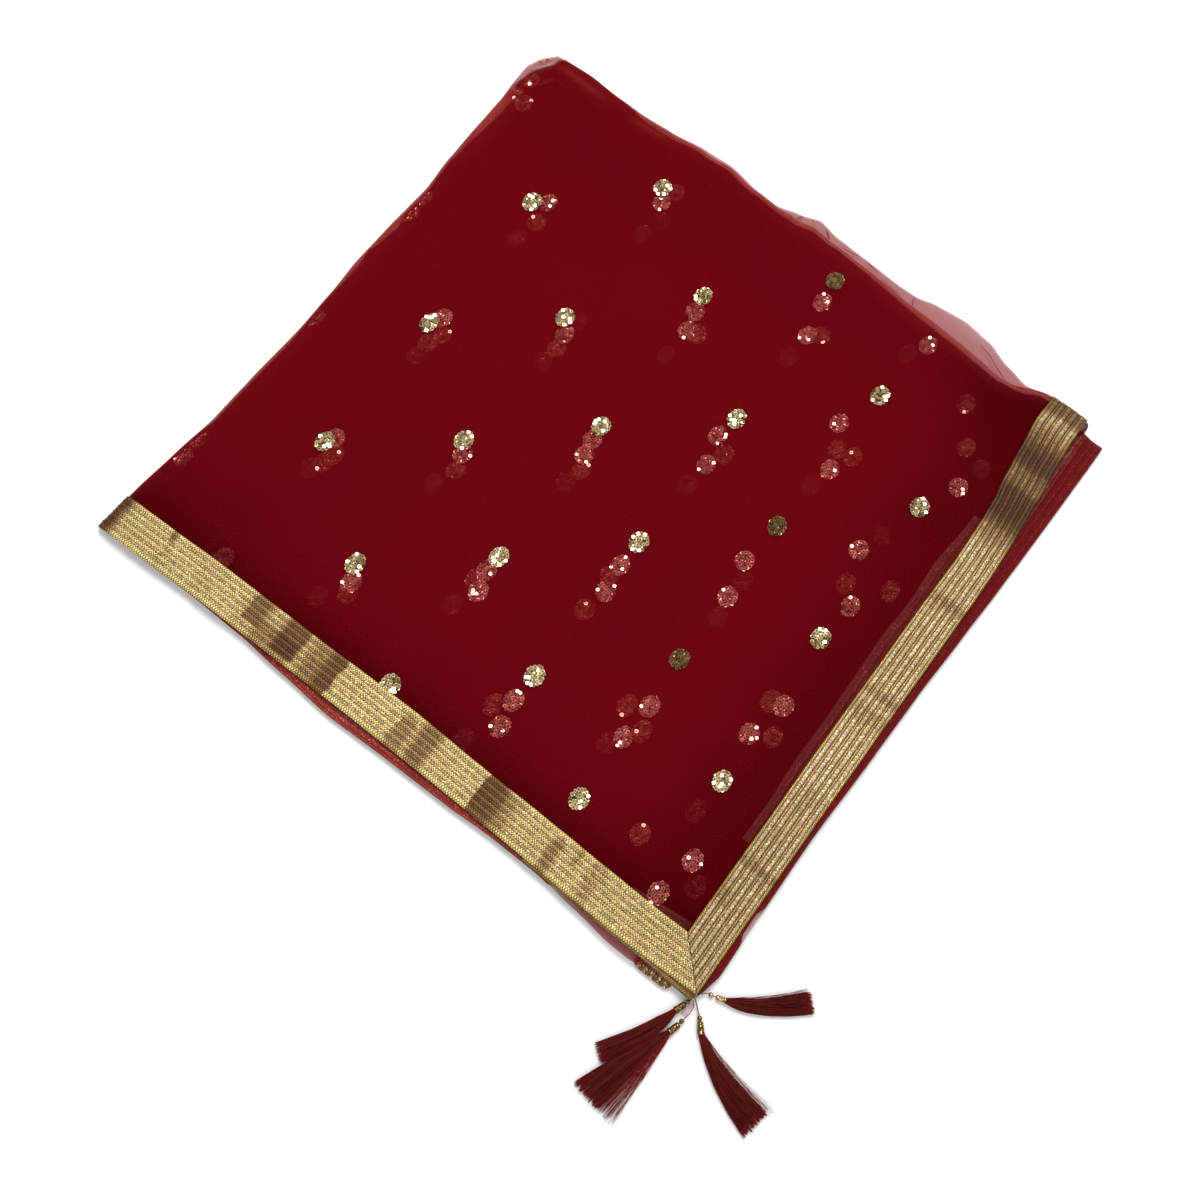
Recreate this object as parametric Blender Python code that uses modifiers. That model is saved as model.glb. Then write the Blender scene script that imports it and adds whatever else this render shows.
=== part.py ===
"""Dupatta stole, folded into a square and laid flat.

An embroidered net stole of 2.25 m by 1.10 m, folded in four along its length and in two
across its width, so that eight layers lie on each other and its four corner tassels meet
at one corner.  The two open sides carry a braided lace band with a mitred corner, and the
other two sides are folds.

Frame: metres, +Z up, the origin on the floor under the middle of the folded square.  The
laced sides are at -Y (the long side's lace) and +X (the end's lace), the tassel corner is
at (+X, -Y), and the folds are at -X and +Y.
"""

import math

import bmesh
import bpy
from mathutils import Vector

MM = 0.001

# The cloth, folded flat
STOLE_LENGTH = 2250.0
STOLE_WIDTH = 1100.0
FOLDED_X = STOLE_LENGTH / 4
FOLDED_Y = STOLE_WIDTH / 2
CLOTH_WALL = 1.0
SEAM_GAP = 0.3
UNDER_GAP = 0.5
FLOOR_CLEARANCE = 0.35
ROLL_EDGE_HEIGHT = 0.85

# Heights in the stack
TOP_FACE = 9.0
SECOND_FACE = TOP_FACE - CLOTH_WALL - SEAM_GAP
HIDDEN_FACE = SECOND_FACE - CLOTH_WALL - SEAM_GAP
HIDDEN_FACE_UNDER_LACE = HIDDEN_FACE - CLOTH_WALL - UNDER_GAP
HIDDEN_LAYER_COUNT = 3
HIDDEN_GROOVE_DEPTH = 3.0
HIDDEN_GROOVE_HEIGHT = 0.45

# The lace band
LACE_WALL = 1.0
LACE_BRAIDS = 5
LACE_BRAID_RISE = 0.55
LACE_EDGE_RISE = 0.25
LACE_EDGE_STRIP = 0.055

# Stations of the cloth's grid
GRID_STEP = 23.0
ROLL_STEPS = 4

# The fold at -X: the cloth's outline, and where the layers under it begin
LEFT_FOLD = (
    # y, outline_x, layers_x, roll_height, roll_width
    (-281.0, -281.0, -279.5, 7.5, 3.6),
    (-262.0, -280.4, -278.3, 7.5, 3.6),
    (-238.0, -280.6, -276.6, 5.5, 3.2),
    (-200.0, -278.6, -273.7, 4.0, 2.8),
    (-160.0, -275.4, -271.2, 3.6, 2.6),
    (-110.0, -275.8, -270.7, 3.2, 2.4),
    (-60.0, -274.8, -270.2, 3.6, 2.6),
    (-20.0, -276.6, -272.2, 3.6, 2.6),
    (20.0, -279.6, -274.2, 3.2, 2.4),
    (60.0, -279.8, -272.2, 3.0, 2.4),
    (105.0, -278.8, -274.2, 3.4, 2.4),
    (140.0, -282.6, -275.2, 3.0, 2.4),
    (180.0, -284.6, -274.2, 2.8, 2.2),
    (215.0, -285.8, -276.2, 2.6, 2.2),
    (240.0, -288.6, -278.7, 2.6, 2.2),
    (257.0, -289.4, -277.9, 2.6, 2.2),
    (267.0, -285.6, -274.9, 2.6, 2.2),
)

# The fold at +Y
FAR_FOLD = (
    # x, outline_y, layers_y, roll_height, roll_width
    (-281.0, 274.4, 264.1, 2.6, 2.2),
    (-275.0, 282.7, 268.0, 2.6, 2.2),
    (-267.0, 284.1, 269.9, 2.8, 2.2),
    (-240.0, 285.3, 271.9, 3.2, 2.4),
    (-210.0, 282.9, 275.9, 3.6, 2.6),
    (-180.0, 282.3, 273.9, 3.4, 2.4),
    (-150.0, 284.3, 274.9, 3.0, 2.4),
    (-120.0, 288.9, 278.9, 2.8, 2.2),
    (-90.0, 290.1, 280.9, 2.8, 2.2),
    (-60.0, 284.7, 276.9, 3.0, 2.4),
    (-38.0, 283.5, 275.4, 3.0, 2.4),
    (-18.0, 289.4, 274.9, 2.6, 2.2),
    (0.0, 295.5, 277.9, 2.6, 2.2),
    (20.0, 291.3, 278.9, 2.6, 2.2),
    (50.0, 289.5, 277.9, 2.6, 2.2),
    (85.0, 287.1, 275.4, 2.6, 2.2),
    (104.0, 287.3, 273.9, 2.6, 2.2),
    (122.0, 291.9, 272.9, 2.6, 2.2),
    (150.0, 294.7, 271.4, 2.6, 2.2),
    (176.0, 291.0, 269.5, 2.6, 2.2),
    (200.0, 282.0, 266.0, 2.8, 2.4),
    (221.0, 276.6, 262.5, 4.0, 3.0),
    (240.0, 279.2, 271.8, 9.0, 4.4),
    (260.0, 279.9, 274.2, 11.0, 4.8),
    (279.0, 278.9, 274.0, 10.5, 4.6),
)

# The laced end at +X
END_LACE = (
    # y, inner_x, outer_x, second_layer_x
    (-282.0, 252.0, 283.0, 283.8),
    (-271.0, 252.0, 283.2, 286.2),
    (-258.0, 252.0, 283.2, 288.6),
    (-220.0, 251.6, 283.2, 288.2),
    (-140.0, 251.2, 283.4, 287.8),
    (-60.0, 251.4, 283.8, 290.7),
    (0.0, 252.0, 284.4, 292.0),
    (60.0, 252.8, 285.2, 294.8),
    (110.0, 253.4, 285.4, 297.1),
    (150.0, 251.6, 283.8, 298.5),
    (190.0, 248.0, 281.2, 299.6),
    (222.0, 245.8, 278.6, 300.3),
    (250.0, 242.6, 276.4, 300.9),
    (279.0, 243.4, 277.4, 301.2),
)

# The laced side at -Y
SIDE_LACE = (
    # x, inner_y, outer_y, second_layer_y
    (-281.0, -248.2, -280.8, -280.0),
    (-240.0, -247.4, -279.8, -279.6),
    (-190.0, -247.0, -278.8, -279.0),
    (-140.0, -246.2, -277.8, -279.4),
    (-100.0, -245.4, -277.2, -282.3),
    (-50.0, -244.8, -277.0, -285.5),
    (0.0, -244.6, -277.0, -284.3),
    (60.0, -245.0, -277.6, -283.6),
    (100.0, -245.8, -278.6, -281.8),
    (140.0, -246.4, -279.6, -281.8),
    (180.0, -247.0, -280.8, -284.8),
    (214.0, -247.4, -281.2, -288.1),
    (232.0, -247.4, -281.0, -288.2),
    (246.0, -247.4, -280.4, -283.0),
    (283.0, -247.4, -278.6, -282.2),
)

# Soft raised folds of the top layer
SOFT_FOLDS = (
    # x, y, heading_deg, length, width, rise
    (-238.0, -262.0, 80.0, 60.0, 13.0, 1.3),
    (-176.0, -258.0, 96.0, 66.0, 15.0, 1.6),
    (-112.0, -262.0, 86.0, 70.0, 13.0, 1.9),
    (-40.0, -262.0, 97.0, 62.0, 16.0, 1.5),
    (28.0, -260.0, 88.0, 60.0, 15.0, 1.6),
    (112.0, -262.0, 93.0, 66.0, 16.0, 1.4),
    (186.0, -262.0, 84.0, 52.0, 14.0, 1.2),
    (266.0, 246.0, 4.0, 46.0, 14.0, 2.6),
    (266.0, 196.0, -6.0, 50.0, 13.0, 1.7),
    (264.0, 138.0, 5.0, 56.0, 14.0, 1.4),
    (266.0, 84.0, -3.0, 60.0, 14.0, 1.2),
    (264.0, 10.0, 6.0, 58.0, 15.0, 1.3),
    (266.0, -66.0, -4.0, 62.0, 14.0, 1.2),
    (266.0, -150.0, 3.0, 60.0, 15.0, 1.0),
    (-150.0, 60.0, 78.0, 300.0, 20.0, 1.0),
    (-20.0, 90.0, 98.0, 260.0, 22.0, 1.1),
    (150.0, 40.0, 84.0, 240.0, 20.0, 0.9),
    (60.0, -120.0, 60.0, 170.0, 20.0, 0.8),
    (-200.0, 230.0, 10.0, 110.0, 15.0, 1.1),
    (60.0, 244.0, -6.0, 150.0, 14.0, 1.2),
)

# The four corner tassels
TASSELS = (
    # name, cap_x, cap_y, heading_deg, middle_x, middle_y, end_x, end_y, end_half_width
    ("tassel_1", 294.6, -271.6, 27.0, 325.0, -254.0, 352.0, -233.5, 7.4),
    ("tassel_2", 297.0, -292.2, -50.0, 331.0, -312.0, 366.0, -323.0, 11.0),
    ("tassel_3", 284.9, -303.4, -107.0, 277.0, -338.0, 270.0, -379.0, 14.5),
    ("tassel_4", 279.9, -290.6, -111.0, 268.8, -321.6, 251.6, -350.5, 6.2),
)
TASSEL_LOCKS_ACROSS = 6
TASSEL_LOCKS_HIGH = 3
TASSEL_LOCK_STEPS = 3
TASSEL_SPREAD_HEIGHT = 4.6
TASSEL_AXIS_HEIGHT = 3.3
CAP_LENGTH = 7.0
CAP_RADIUS = 2.9
CAP_WALL = 0.4
CAP_MOUTH_DEPTH = 2.6
HEAD_LENGTH = 2.2
HEAD_WIDTH = 3.5
HEAD_HEIGHT = 3.1
THREAD_RADIUS = 0.4
THREAD_HOLE = THREAD_RADIUS + SEAM_GAP
BEAD_RADIUS = 2.1
BEAD_HALF_LENGTH = 1.7

# Beads on the tassels' threads, and the way of each thread from the cloth's corner
BEADS = (
    # tassel, x, y, heading_deg
    ("tassel_1", 291.0, -272.6, 14.0),
    ("tassel_2", 294.3, -289.4, -45.0),
    ("tassel_3", 285.6, -299.2, -99.0),
    ("tassel_4", 281.0, -287.2, -108.0),
)
THREADS = {
    # tassel: (x, y, z) points between the cloth's corner and the bead
    "tassel_1": ((285.6, -276.4, 5.6), (287.0, -274.5, 4.6)),
    "tassel_2": ((284.4, -281.4, 5.6), (287.2, -283.5, 4.5), (290.6, -286.4, 3.5)),
    "tassel_3": ((283.8, -282.9, 4.9), (286.9, -286.5, 3.5), (287.2, -291.6, 3.3)),
    "tassel_4": ((282.4, -283.1, 5.2), (282.1, -284.1, 4.2)),
}

# Small pieces of the layers below that show at the tassel corner
CORNER_PIECES = (
    # name, x0, y0, x1, y1, start_width, end_width, bottom, height
    ("corner_lace_tab", 236.0, -286.3, 265.0, -286.1, 5.4, 4.6, 2.2, 1.2),
    ("corner_lace_fold", 252.5, -284.6, 278.4, -284.4, 1.4, 2.4, 4.4, 1.1),
    ("corner_net_tail", 285.8, -284.8, 285.8, -295.2, 2.6, 3.2, 1.2, 1.0),
)

MAROON = (0.155, 0.0035, 0.008, 1.0)
DEEP_MAROON = (0.10, 0.002, 0.005, 1.0)
GOLD_LACE = (0.42, 0.29, 0.12, 1.0)
DARK_LACE = (0.22, 0.11, 0.05, 1.0)
GOLD_METAL = (0.62, 0.45, 0.16, 1.0)
PALE_NET = (0.45, 0.22, 0.24, 1.0)


def clear_scene():
    for item in list(bpy.data.objects):
        bpy.data.objects.remove(item, do_unlink=True)


def make_material(name, colour, roughness, metallic):
    material = bpy.data.materials.new(name)
    material.use_nodes = True
    shader = material.node_tree.nodes["Principled BSDF"]
    shader.inputs["Base Color"].default_value = colour
    shader.inputs["Roughness"].default_value = roughness
    shader.inputs["Metallic"].default_value = metallic
    return material


def ease(t):
    """Smooth step from 0 to 1."""
    t = min(1.0, max(0.0, t))
    return t * t * (3.0 - 2.0 * t)


def lerp(a, b, t):
    return a + (b - a) * t


def read(table, key, column):
    """Value of a table's column at a place along its first column, smoothly between rows."""
    if key <= table[0][0]:
        return table[0][column]
    for low, high in zip(table, table[1:]):
        if key <= high[0]:
            t = (key - low[0]) / (high[0] - low[0])
            return lerp(low[column], high[column], 0.5 * t + 0.5 * ease(t))
    return table[-1][column]


def fold_rise(x, y):
    """Height of the soft folds above the cloth's plain face."""
    rise = 0.0
    for centre_x, centre_y, heading, length, width, height in SOFT_FOLDS:
        turn = math.radians(heading)
        dx, dy = x - centre_x, y - centre_y
        along = dx * math.cos(turn) + dy * math.sin(turn)
        across = -dx * math.sin(turn) + dy * math.cos(turn)
        if abs(along) < length and abs(across) < 3.0 * width:
            rise += height * math.exp(-(across / width) ** 2) * ease(1.4 - 1.4 * abs(along) / length)
    return rise


def roll_start_x(y):
    return read(LEFT_FOLD, y, 1) + read(LEFT_FOLD, y, 4)


def roll_start_y(x):
    return read(FAR_FOLD, x, 1) - read(FAR_FOLD, x, 4)


def cloth_point(x, y):
    """Point of the top layer's outer face at a place on the cloth.

    Inside the outline, x and y are plan positions.  Past the line where a fold begins to
    roll, they are lengths along the cloth, which turns down a quarter of an ellipse.
    """
    start_y = roll_start_y(x)
    plan_y = min(y, start_y)
    start_x = roll_start_x(plan_y)
    plan_x = max(x, start_x)

    left_height = read(LEFT_FOLD, plan_y, 3)
    far_height = read(FAR_FOLD, plan_x, 3)
    left_reach = max(8.0, read(LEFT_FOLD, plan_y, 2) - start_x + 8.0)
    far_reach = max(8.0, start_y - read(FAR_FOLD, plan_x, 2) + 8.0)
    near_left = ease((plan_x - start_x) / left_reach)
    near_far = ease((start_y - plan_y) / far_reach)
    full = TOP_FACE + fold_rise(plan_x, plan_y)
    height = lerp(min(left_height, full), full, near_left)
    height = lerp(min(far_height, height), height, near_far)

    left_width = read(LEFT_FOLD, plan_y, 4)
    far_width = read(FAR_FOLD, plan_x, 4)
    left_arc = roll_arc(left_width, height)
    far_arc = roll_arc(far_width, height)
    left_turn = min(1.0, max(0.0, start_x - x) / left_arc) * math.pi / 2
    far_turn = min(1.0, max(0.0, y - start_y) / far_arc) * math.pi / 2
    drop = math.cos(left_turn) * math.cos(far_turn)
    return Vector((
        plan_x - left_width * math.sin(left_turn),
        plan_y + far_width * math.sin(far_turn),
        ROLL_EDGE_HEIGHT + (height - ROLL_EDGE_HEIGHT) * drop,
    ))


def roll_arc(width, height):
    """Length of cloth in the quarter ellipse of a fold's roll."""
    fall = height - ROLL_EDGE_HEIGHT
    return math.pi / 2 * math.sqrt((width * width + fall * fall) / 2)


def cloth_face(x, y, lift):
    """Point of the top layer's outer face, moved out along the face's normal."""
    step = 0.4
    along_x = cloth_point(x + step, y) - cloth_point(x - step, y)
    along_y = cloth_point(x, y + step) - cloth_point(x, y - step)
    normal = along_x.cross(along_y)
    if normal.length < 1e-9:
        normal = Vector((0.0, 0.0, 1.0))
    return cloth_point(x, y) + normal.normalized() * lift


def add_object(name, mesh, material, collection):
    item = bpy.data.objects.new(name, mesh)
    collection.objects.link(item)
    item.data.materials.append(material)
    return item


def mesh_from_bmesh(name, shape, smooth_angle=40.0):
    mesh = bpy.data.meshes.new(name)
    bmesh.ops.recalc_face_normals(shape, faces=shape.faces)
    shape.to_mesh(mesh)
    shape.free()
    mesh.shade_smooth()
    mesh.set_sharp_from_angle(angle=math.radians(smooth_angle))
    return mesh


def loft(name, rings, smooth_angle=40.0):
    """Closed solid through rings of equal count, in millimetres, capped at both ends."""
    shape = bmesh.new()
    rows = [[shape.verts.new(Vector(p) * MM) for p in ring] for ring in rings]
    count = len(rows[0])
    for low, high in zip(rows, rows[1:]):
        for i in range(count):
            j = (i + 1) % count
            shape.faces.new((low[i], low[j], high[j], high[i]))
    shape.faces.new(rows[0])
    shape.faces.new(rows[-1])
    return mesh_from_bmesh(name, shape, smooth_angle)


def sheet(name, points):
    """Open surface through a grid of points, in millimetres, facing up."""
    shape = bmesh.new()
    rows = [[shape.verts.new(p * MM) for p in row] for row in points]
    for low, high in zip(rows, rows[1:]):
        for i in range(len(low) - 1):
            shape.faces.new((low[i], low[i + 1], high[i + 1], high[i]))
    mesh = bpy.data.meshes.new(name)
    shape.to_mesh(mesh)
    shape.free()
    mesh.shade_smooth()
    mesh.set_sharp_from_angle(angle=math.radians(50.0))
    return mesh


def give_thickness(item, thickness):
    wall = item.modifiers.new("Wall", "SOLIDIFY")
    wall.thickness = thickness * MM
    wall.offset = -1.0
    wall.use_even_offset = True
    wall.use_rim = True


def spaced(start, end, step):
    """Evenly spaced values from start to end, both included."""
    count = max(1, round(abs(end - start) / step))
    return [lerp(start, end, i / count) for i in range(count + 1)]


def side_stations():
    """Places along X, from the rolled edge at -X to the mitred corner."""
    start = roll_start_x(-264.0)
    stations = [("roll", i / ROLL_STEPS) for i in range(ROLL_STEPS, 0, -1)]
    stations += [("field", start + on) for on in (0.0, 5.0, 11.0, 18.0)]
    inner = END_LACE[0][1]
    stations += [("field", x) for x in spaced(start + 18.0, inner, GRID_STEP)[1:-1]]
    return stations


def end_stations():
    """Places along Y, from the mitred corner to the rolled edge at +Y."""
    end = roll_start_y(264.0)
    inner = SIDE_LACE[0][1]
    stations = [("field", y) for y in spaced(inner, end - 30.0, GRID_STEP)[1:]]
    stations += [("field", end - back) for back in (20.0, 12.0, 5.0, 0.0)]
    stations += [("roll", i / ROLL_STEPS) for i in range(1, ROLL_STEPS + 1)]
    return stations


def field_x(station, y):
    """Cloth coordinate along X of a station, at a place along Y."""
    kind, value = station
    start = roll_start_x(min(y, roll_start_y(-270.0)))
    if kind == "roll":
        height = cloth_point(start, y).z
        return start - roll_arc(read(LEFT_FOLD, y, 4), max(height, 1.5)) * value
    base = roll_start_x(-264.0)
    inner = END_LACE[0][1]
    return lerp(start, read(END_LACE, y, 1), (value - base) / (inner - base))


def field_y(station, x):
    """Cloth coordinate along Y of a station, at a place along X."""
    kind, value = station
    start = roll_start_y(x)
    if kind == "roll":
        height = cloth_point(x, start).z
        return start + roll_arc(read(FAR_FOLD, x, 4), max(height, 1.5)) * value
    base = SIDE_LACE[0][1]
    top = roll_start_y(264.0)
    return lerp(read(SIDE_LACE, x, 1), start, (value - base) / (top - base))


def lace_share_points():
    """Shares of the band's width that the cloth under it keeps as grid lines."""
    return (0.0, 1.0 / 3.0, 2.0 / 3.0, 0.985)


def make_top_layer(material, collection):
    columns = side_stations()
    rows = end_stations()
    grid = []
    for share in reversed(lace_share_points()):
        line = []
        for column in columns:
            x = column_x(column, -264.0)
            line.append((x, lerp(read(SIDE_LACE, x, 1), read(SIDE_LACE, x, 2), share)))
        line += corner_places(share)
        grid.append(line)
    for row in rows:
        line = []
        for column in columns:
            x = row_x(column, row)
            line.append((x, field_y(row, plan_x_of(x))))
        for share in lace_share_points():
            y = field_y(row, 265.0)
            plan = min(y, roll_start_y(265.0))
            x = lerp(read(END_LACE, plan, 1), read(END_LACE, plan, 2), share)
            line.append((x, field_y(row, x)))
        grid.append(line)
    points = [[cloth_face(x, y, 0.0) for x, y in line] for line in grid]
    item = add_object("top_layer", sheet("top_layer", points), material, collection)
    give_thickness(item, CLOTH_WALL)
    return item


def plan_x_of(x):
    return max(x, LEFT_FOLD[0][1])


def column_x(column, y):
    return field_x(column, y)


def row_x(column, row):
    kind, value = row
    y = value if kind == "field" else roll_start_y(0.0)
    return field_x(column, y)


def corner_places(side_share):
    """Cloth places across the mitred corner, for one line of the side's band."""
    places = []
    for share in lace_share_points():
        y = lerp(SIDE_LACE[-1][1], read(SIDE_LACE, 283.0, 2), side_share)
        x = lerp(read(END_LACE, y, 1), read(END_LACE, y, 2), share)
        y_here = lerp(read(SIDE_LACE, x, 1), read(SIDE_LACE, x, 2), side_share)
        places.append((x, y_here))
    return places


def lace_profile():
    """Shares across the band, and the rise of its outer face at each."""
    profile = [(0.0, 0.0), (LACE_EDGE_STRIP * 0.6, LACE_EDGE_RISE)]
    pitch = (1.0 - 2.0 * LACE_EDGE_STRIP) / LACE_BRAIDS
    for braid in range(LACE_BRAIDS):
        start = LACE_EDGE_STRIP + braid * pitch
        profile.append((start, 0.0))
        profile.append((start + pitch * 0.5, LACE_BRAID_RISE))
    profile.append((1.0 - LACE_EDGE_STRIP, 0.0))
    profile.append((1.0 - LACE_EDGE_STRIP * 0.6, LACE_EDGE_RISE))
    profile.append((1.0, 0.0))
    return profile


def lace_ring(place):
    """Ring across a band: its ribbed outer face, then its plain inside.

    place(share) gives the cloth coordinates at a share of the band's width.
    """
    inner_lift = SEAM_GAP
    outer_lift = SEAM_GAP + LACE_WALL
    ring = []
    for share, rise in lace_profile():
        x, y = place(share)
        ring.append(cloth_face(x, y, outer_lift + rise))
    for share in (1.0, 2.0 / 3.0, 1.0 / 3.0, 0.0):
        x, y = place(share)
        ring.append(cloth_face(x, y, inner_lift))
    return ring


def make_side_lace(material, collection):
    rings = []
    for column in side_stations():
        x = column_x(column, -264.0)

        def place(share, x=x):
            return x, lerp(read(SIDE_LACE, x, 1), read(SIDE_LACE, x, 2), share)

        rings.append(lace_ring(place))

    def mitre(share):
        x = lerp(END_LACE[0][1], END_LACE[0][2], share) - SEAM_GAP * 0.7
        return x, lerp(read(SIDE_LACE, x, 1), read(SIDE_LACE, x, 2), share)

    rings.append(lace_ring(mitre))
    mesh = loft("top_lace_side", rings)
    return add_object("top_lace_side", mesh, material, collection)


def make_end_lace(material, collection):
    def mitre(share):
        x = lerp(END_LACE[0][1], END_LACE[0][2], share)
        return x, lerp(read(SIDE_LACE, x, 1), read(SIDE_LACE, x, 2), share) + SEAM_GAP * 0.7

    rings = [lace_ring(mitre)]
    for row in end_stations():
        def place(share, row=row):
            plan = min(field_y(row, 265.0), roll_start_y(265.0))
            x = lerp(read(END_LACE, plan, 1), read(END_LACE, plan, 2), share)
            return x, field_y(row, x)

        rings.append(lace_ring(place))
    mesh = loft("top_lace_end", rings)
    return add_object("top_lace_end", mesh, material, collection)


def second_far_edge(x):
    """Outline of the second layer at the +Y fold."""
    inside = read(FAR_FOLD, x, 2) - 13.0
    return lerp(inside, 264.4, ease((x - 236.0) / 14.0))


def second_droop(x, y):
    """How far the lower layers hang where they show past the top layer's edge."""
    past_end = ease((x - read(END_LACE, y, 2) - 0.5) / 16.0)
    past_side = ease((read(SIDE_LACE, x, 2) - 1.0 - y) / 12.0)
    return 3.0 * past_end + 2.0 * past_side


def second_point(x, y, lift):
    return Vector((x, y, SECOND_FACE + lift - second_droop(x, y)))


def second_end_x(y, share):
    """Place across the second layer's end band, 0 at its inner edge and 1 at its outer."""
    outer = read(END_LACE, y, 3)
    return lerp(outer - 32.0, outer, share)


def second_side_y(x, share):
    outer = read(SIDE_LACE, x, 3)
    return lerp(outer + 32.0, outer, share)


SECOND_SHARES = (0.0, 0.5, 0.78, 0.99)


def second_columns():
    return spaced(-255.0, 214.0, 40.0) + [232.0, 246.0]


def second_rows():
    return spaced(-246.0, 236.0, 40.0) + [None]


def second_row_y(row, x):
    return second_far_edge(x) if row is None else min(row, second_far_edge(x) - 6.0)


def make_second_layer(material, collection):
    grid = []
    for share in reversed(SECOND_SHARES):
        line = [(x, second_side_y(x, share)) for x in second_columns()]
        for end_share in SECOND_SHARES:
            x = second_end_x(-262.0, end_share)
            y = second_side_y(x, share)
            line.append((second_end_x(y, end_share), y))
        grid.append(line)
    for row in second_rows()[1:]:
        line = [(x, second_row_y(row, x)) for x in second_columns()]
        for end_share in SECOND_SHARES:
            y = second_row_y(row, 280.0)
            x = second_end_x(y, end_share)
            line.append((x, second_row_y(row, x)))
        grid.append(line)
    points = [[second_point(x, y, 0.0) for x, y in line] for line in grid]
    item = add_object("second_layer", sheet("second_layer", points), material, collection)
    give_thickness(item, CLOTH_WALL)
    return item


def under_ring(places):
    """Ring across a plain band that lies under the second layer."""
    top = -CLOTH_WALL - UNDER_GAP
    ring = [second_point(x, y, top) for x, y in places]
    ring += [second_point(x, y, top - LACE_WALL) for x, y in reversed(places)]
    return ring


def make_second_laces(material, collection):
    shares = (0.0, 0.5, 0.78, 1.0)
    rings = []
    for x in second_columns():
        rings.append(under_ring([(x, second_side_y(x, share)) for share in shares]))
    corner = []
    for share in shares:
        x = second_end_x(second_side_y(280.0, share), share) - 1.0
        corner.append((x, second_side_y(x, share)))
    rings.append(under_ring(corner))
    side = add_object("second_lace_side", loft("second_lace_side", rings), material, collection)

    corner = []
    for share in shares:
        y = second_side_y(280.0, share)
        corner.append((second_end_x(y, share), y + 1.0))
    rings = [under_ring(corner)]
    first = second_rows()[1]
    for on in (0.13, 0.3, 0.6):
        fan = [(second_end_x(lerp(y, first, on), share), lerp(y, first, on))
               for share, (_, y) in zip(shares, corner)]
        rings.append(under_ring(fan))
    for row in second_rows()[1:]:
        places = []
        for share in shares:
            y = second_row_y(row, 280.0)
            x = second_end_x(y, share)
            places.append((x, second_row_y(row, x)))
        rings.append(under_ring(places))
    end = add_object("second_lace_end", loft("second_lace_end", rings), material, collection)
    return side, end


def hidden_outline(inset, layer):
    """Closed outline of a hidden layer, anticlockwise from the tassel corner."""
    points = []
    wave = 1.1 * layer

    def jitter(t):
        return 0.9 * math.sin(t / 23.0 + wave) + 0.6 * math.sin(t / 9.0 + 2.0 * wave)

    rows = spaced(-272.0, 252.0, 36.0)
    columns = spaced(270.0, -264.0, 36.0)
    for y in rows:
        edge = read(END_LACE, y, 2) - 2.2
        points.append((edge + jitter(y), y))
    for x in columns:
        edge = min(read(FAR_FOLD, x, 2) - 8.5, 261.0)
        points.append((x, edge + jitter(x)))
    for y in reversed(spaced(-268.0, 244.0, 36.0)):
        edge = read(LEFT_FOLD, y, 2) + 8.5
        points.append((edge + jitter(y), y))
    for x in reversed(spaced(268.0, -258.0, 36.0)):
        edge = read(SIDE_LACE, x, 2) + 2.0
        points.append((x, edge + jitter(x)))
    keep_x, keep_y = 1.0 - 2.0 * inset / FOLDED_X, 1.0 - 2.0 * inset / FOLDED_Y
    return [(x * keep_x, y * keep_y) for x, y in points]


def hidden_face(x, y):
    """Top face of the hidden layers, lower under the second layer's lace."""
    under_end = ease((x - (second_end_x(y, 0.0) - 26.0)) / 8.0)
    under_side = ease(((second_side_y(x, 0.0) + 26.0) - y) / 8.0)
    under = max(under_end, under_side)
    return lerp(HIDDEN_FACE, HIDDEN_FACE_UNDER_LACE, under) - second_droop(x, y)


def make_hidden_layers(material, collection):
    """One rounded solid for the layers under the second, grooved at its edges."""
    rings = []
    depth = HIDDEN_FACE_UNDER_LACE - 0.8
    pitch = depth / HIDDEN_LAYER_COUNT
    for layer in range(HIDDEN_LAYER_COUNT):
        outline = hidden_outline(0.0, layer)
        groove = hidden_outline(HIDDEN_GROOVE_DEPTH, layer)
        low = layer * pitch
        if layer == 0:
            rings.append([(x, y, 0.0) for x, y in hidden_outline(0.8, layer)])
        else:
            rings.append([(x, y, low) for x, y in groove])
        rings.append([(x, y, low + HIDDEN_GROOVE_HEIGHT) for x, y in outline])
        rings.append([(x, y, low + pitch - 0.3) for x, y in outline])
    last = HIDDEN_LAYER_COUNT - 1
    for inset, drop in ((2.0, 0.25), (12.0, 0.0), (30.0, 0.0), (44.0, 0.0), (56.0, 0.0)):
        outline = hidden_outline(inset, last)
        rings.append([(x, y, hidden_face(x, y) - drop) for x, y in outline])
    mesh = loft("hidden_layers", rings)
    return add_object("hidden_layers", mesh, material, collection)


def turned(name, profile, segments):
    """Closed solid turned from a closed profile of (radius, height), about its local Z."""
    mesh = bpy.data.meshes.new(name)
    shape = bmesh.new()
    verts = [shape.verts.new((radius * MM, 0.0, height * MM)) for radius, height in profile]
    edges = [shape.edges.new((a, b)) for a, b in zip(verts, verts[1:] + verts[:1])]
    bmesh.ops.spin(
        shape, geom=verts + edges, cent=(0, 0, 0), axis=(0, 0, 1),
        angle=2.0 * math.pi, steps=segments, use_merge=True, use_duplicate=False,
    )
    bmesh.ops.remove_doubles(shape, verts=shape.verts, dist=1e-6)
    bmesh.ops.recalc_face_normals(shape, faces=shape.faces)
    shape.to_mesh(mesh)
    shape.free()
    mesh.shade_smooth()
    mesh.set_sharp_from_angle(angle=math.radians(45.0))
    return mesh


def place_on_axis(item, x, y, heading):
    """Lay a turned piece on its side, its local Z along the heading."""
    item.location = Vector((x, y, TASSEL_AXIS_HEIGHT)) * MM
    item.rotation_euler = (0.0, math.pi / 2, math.radians(heading))


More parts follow.
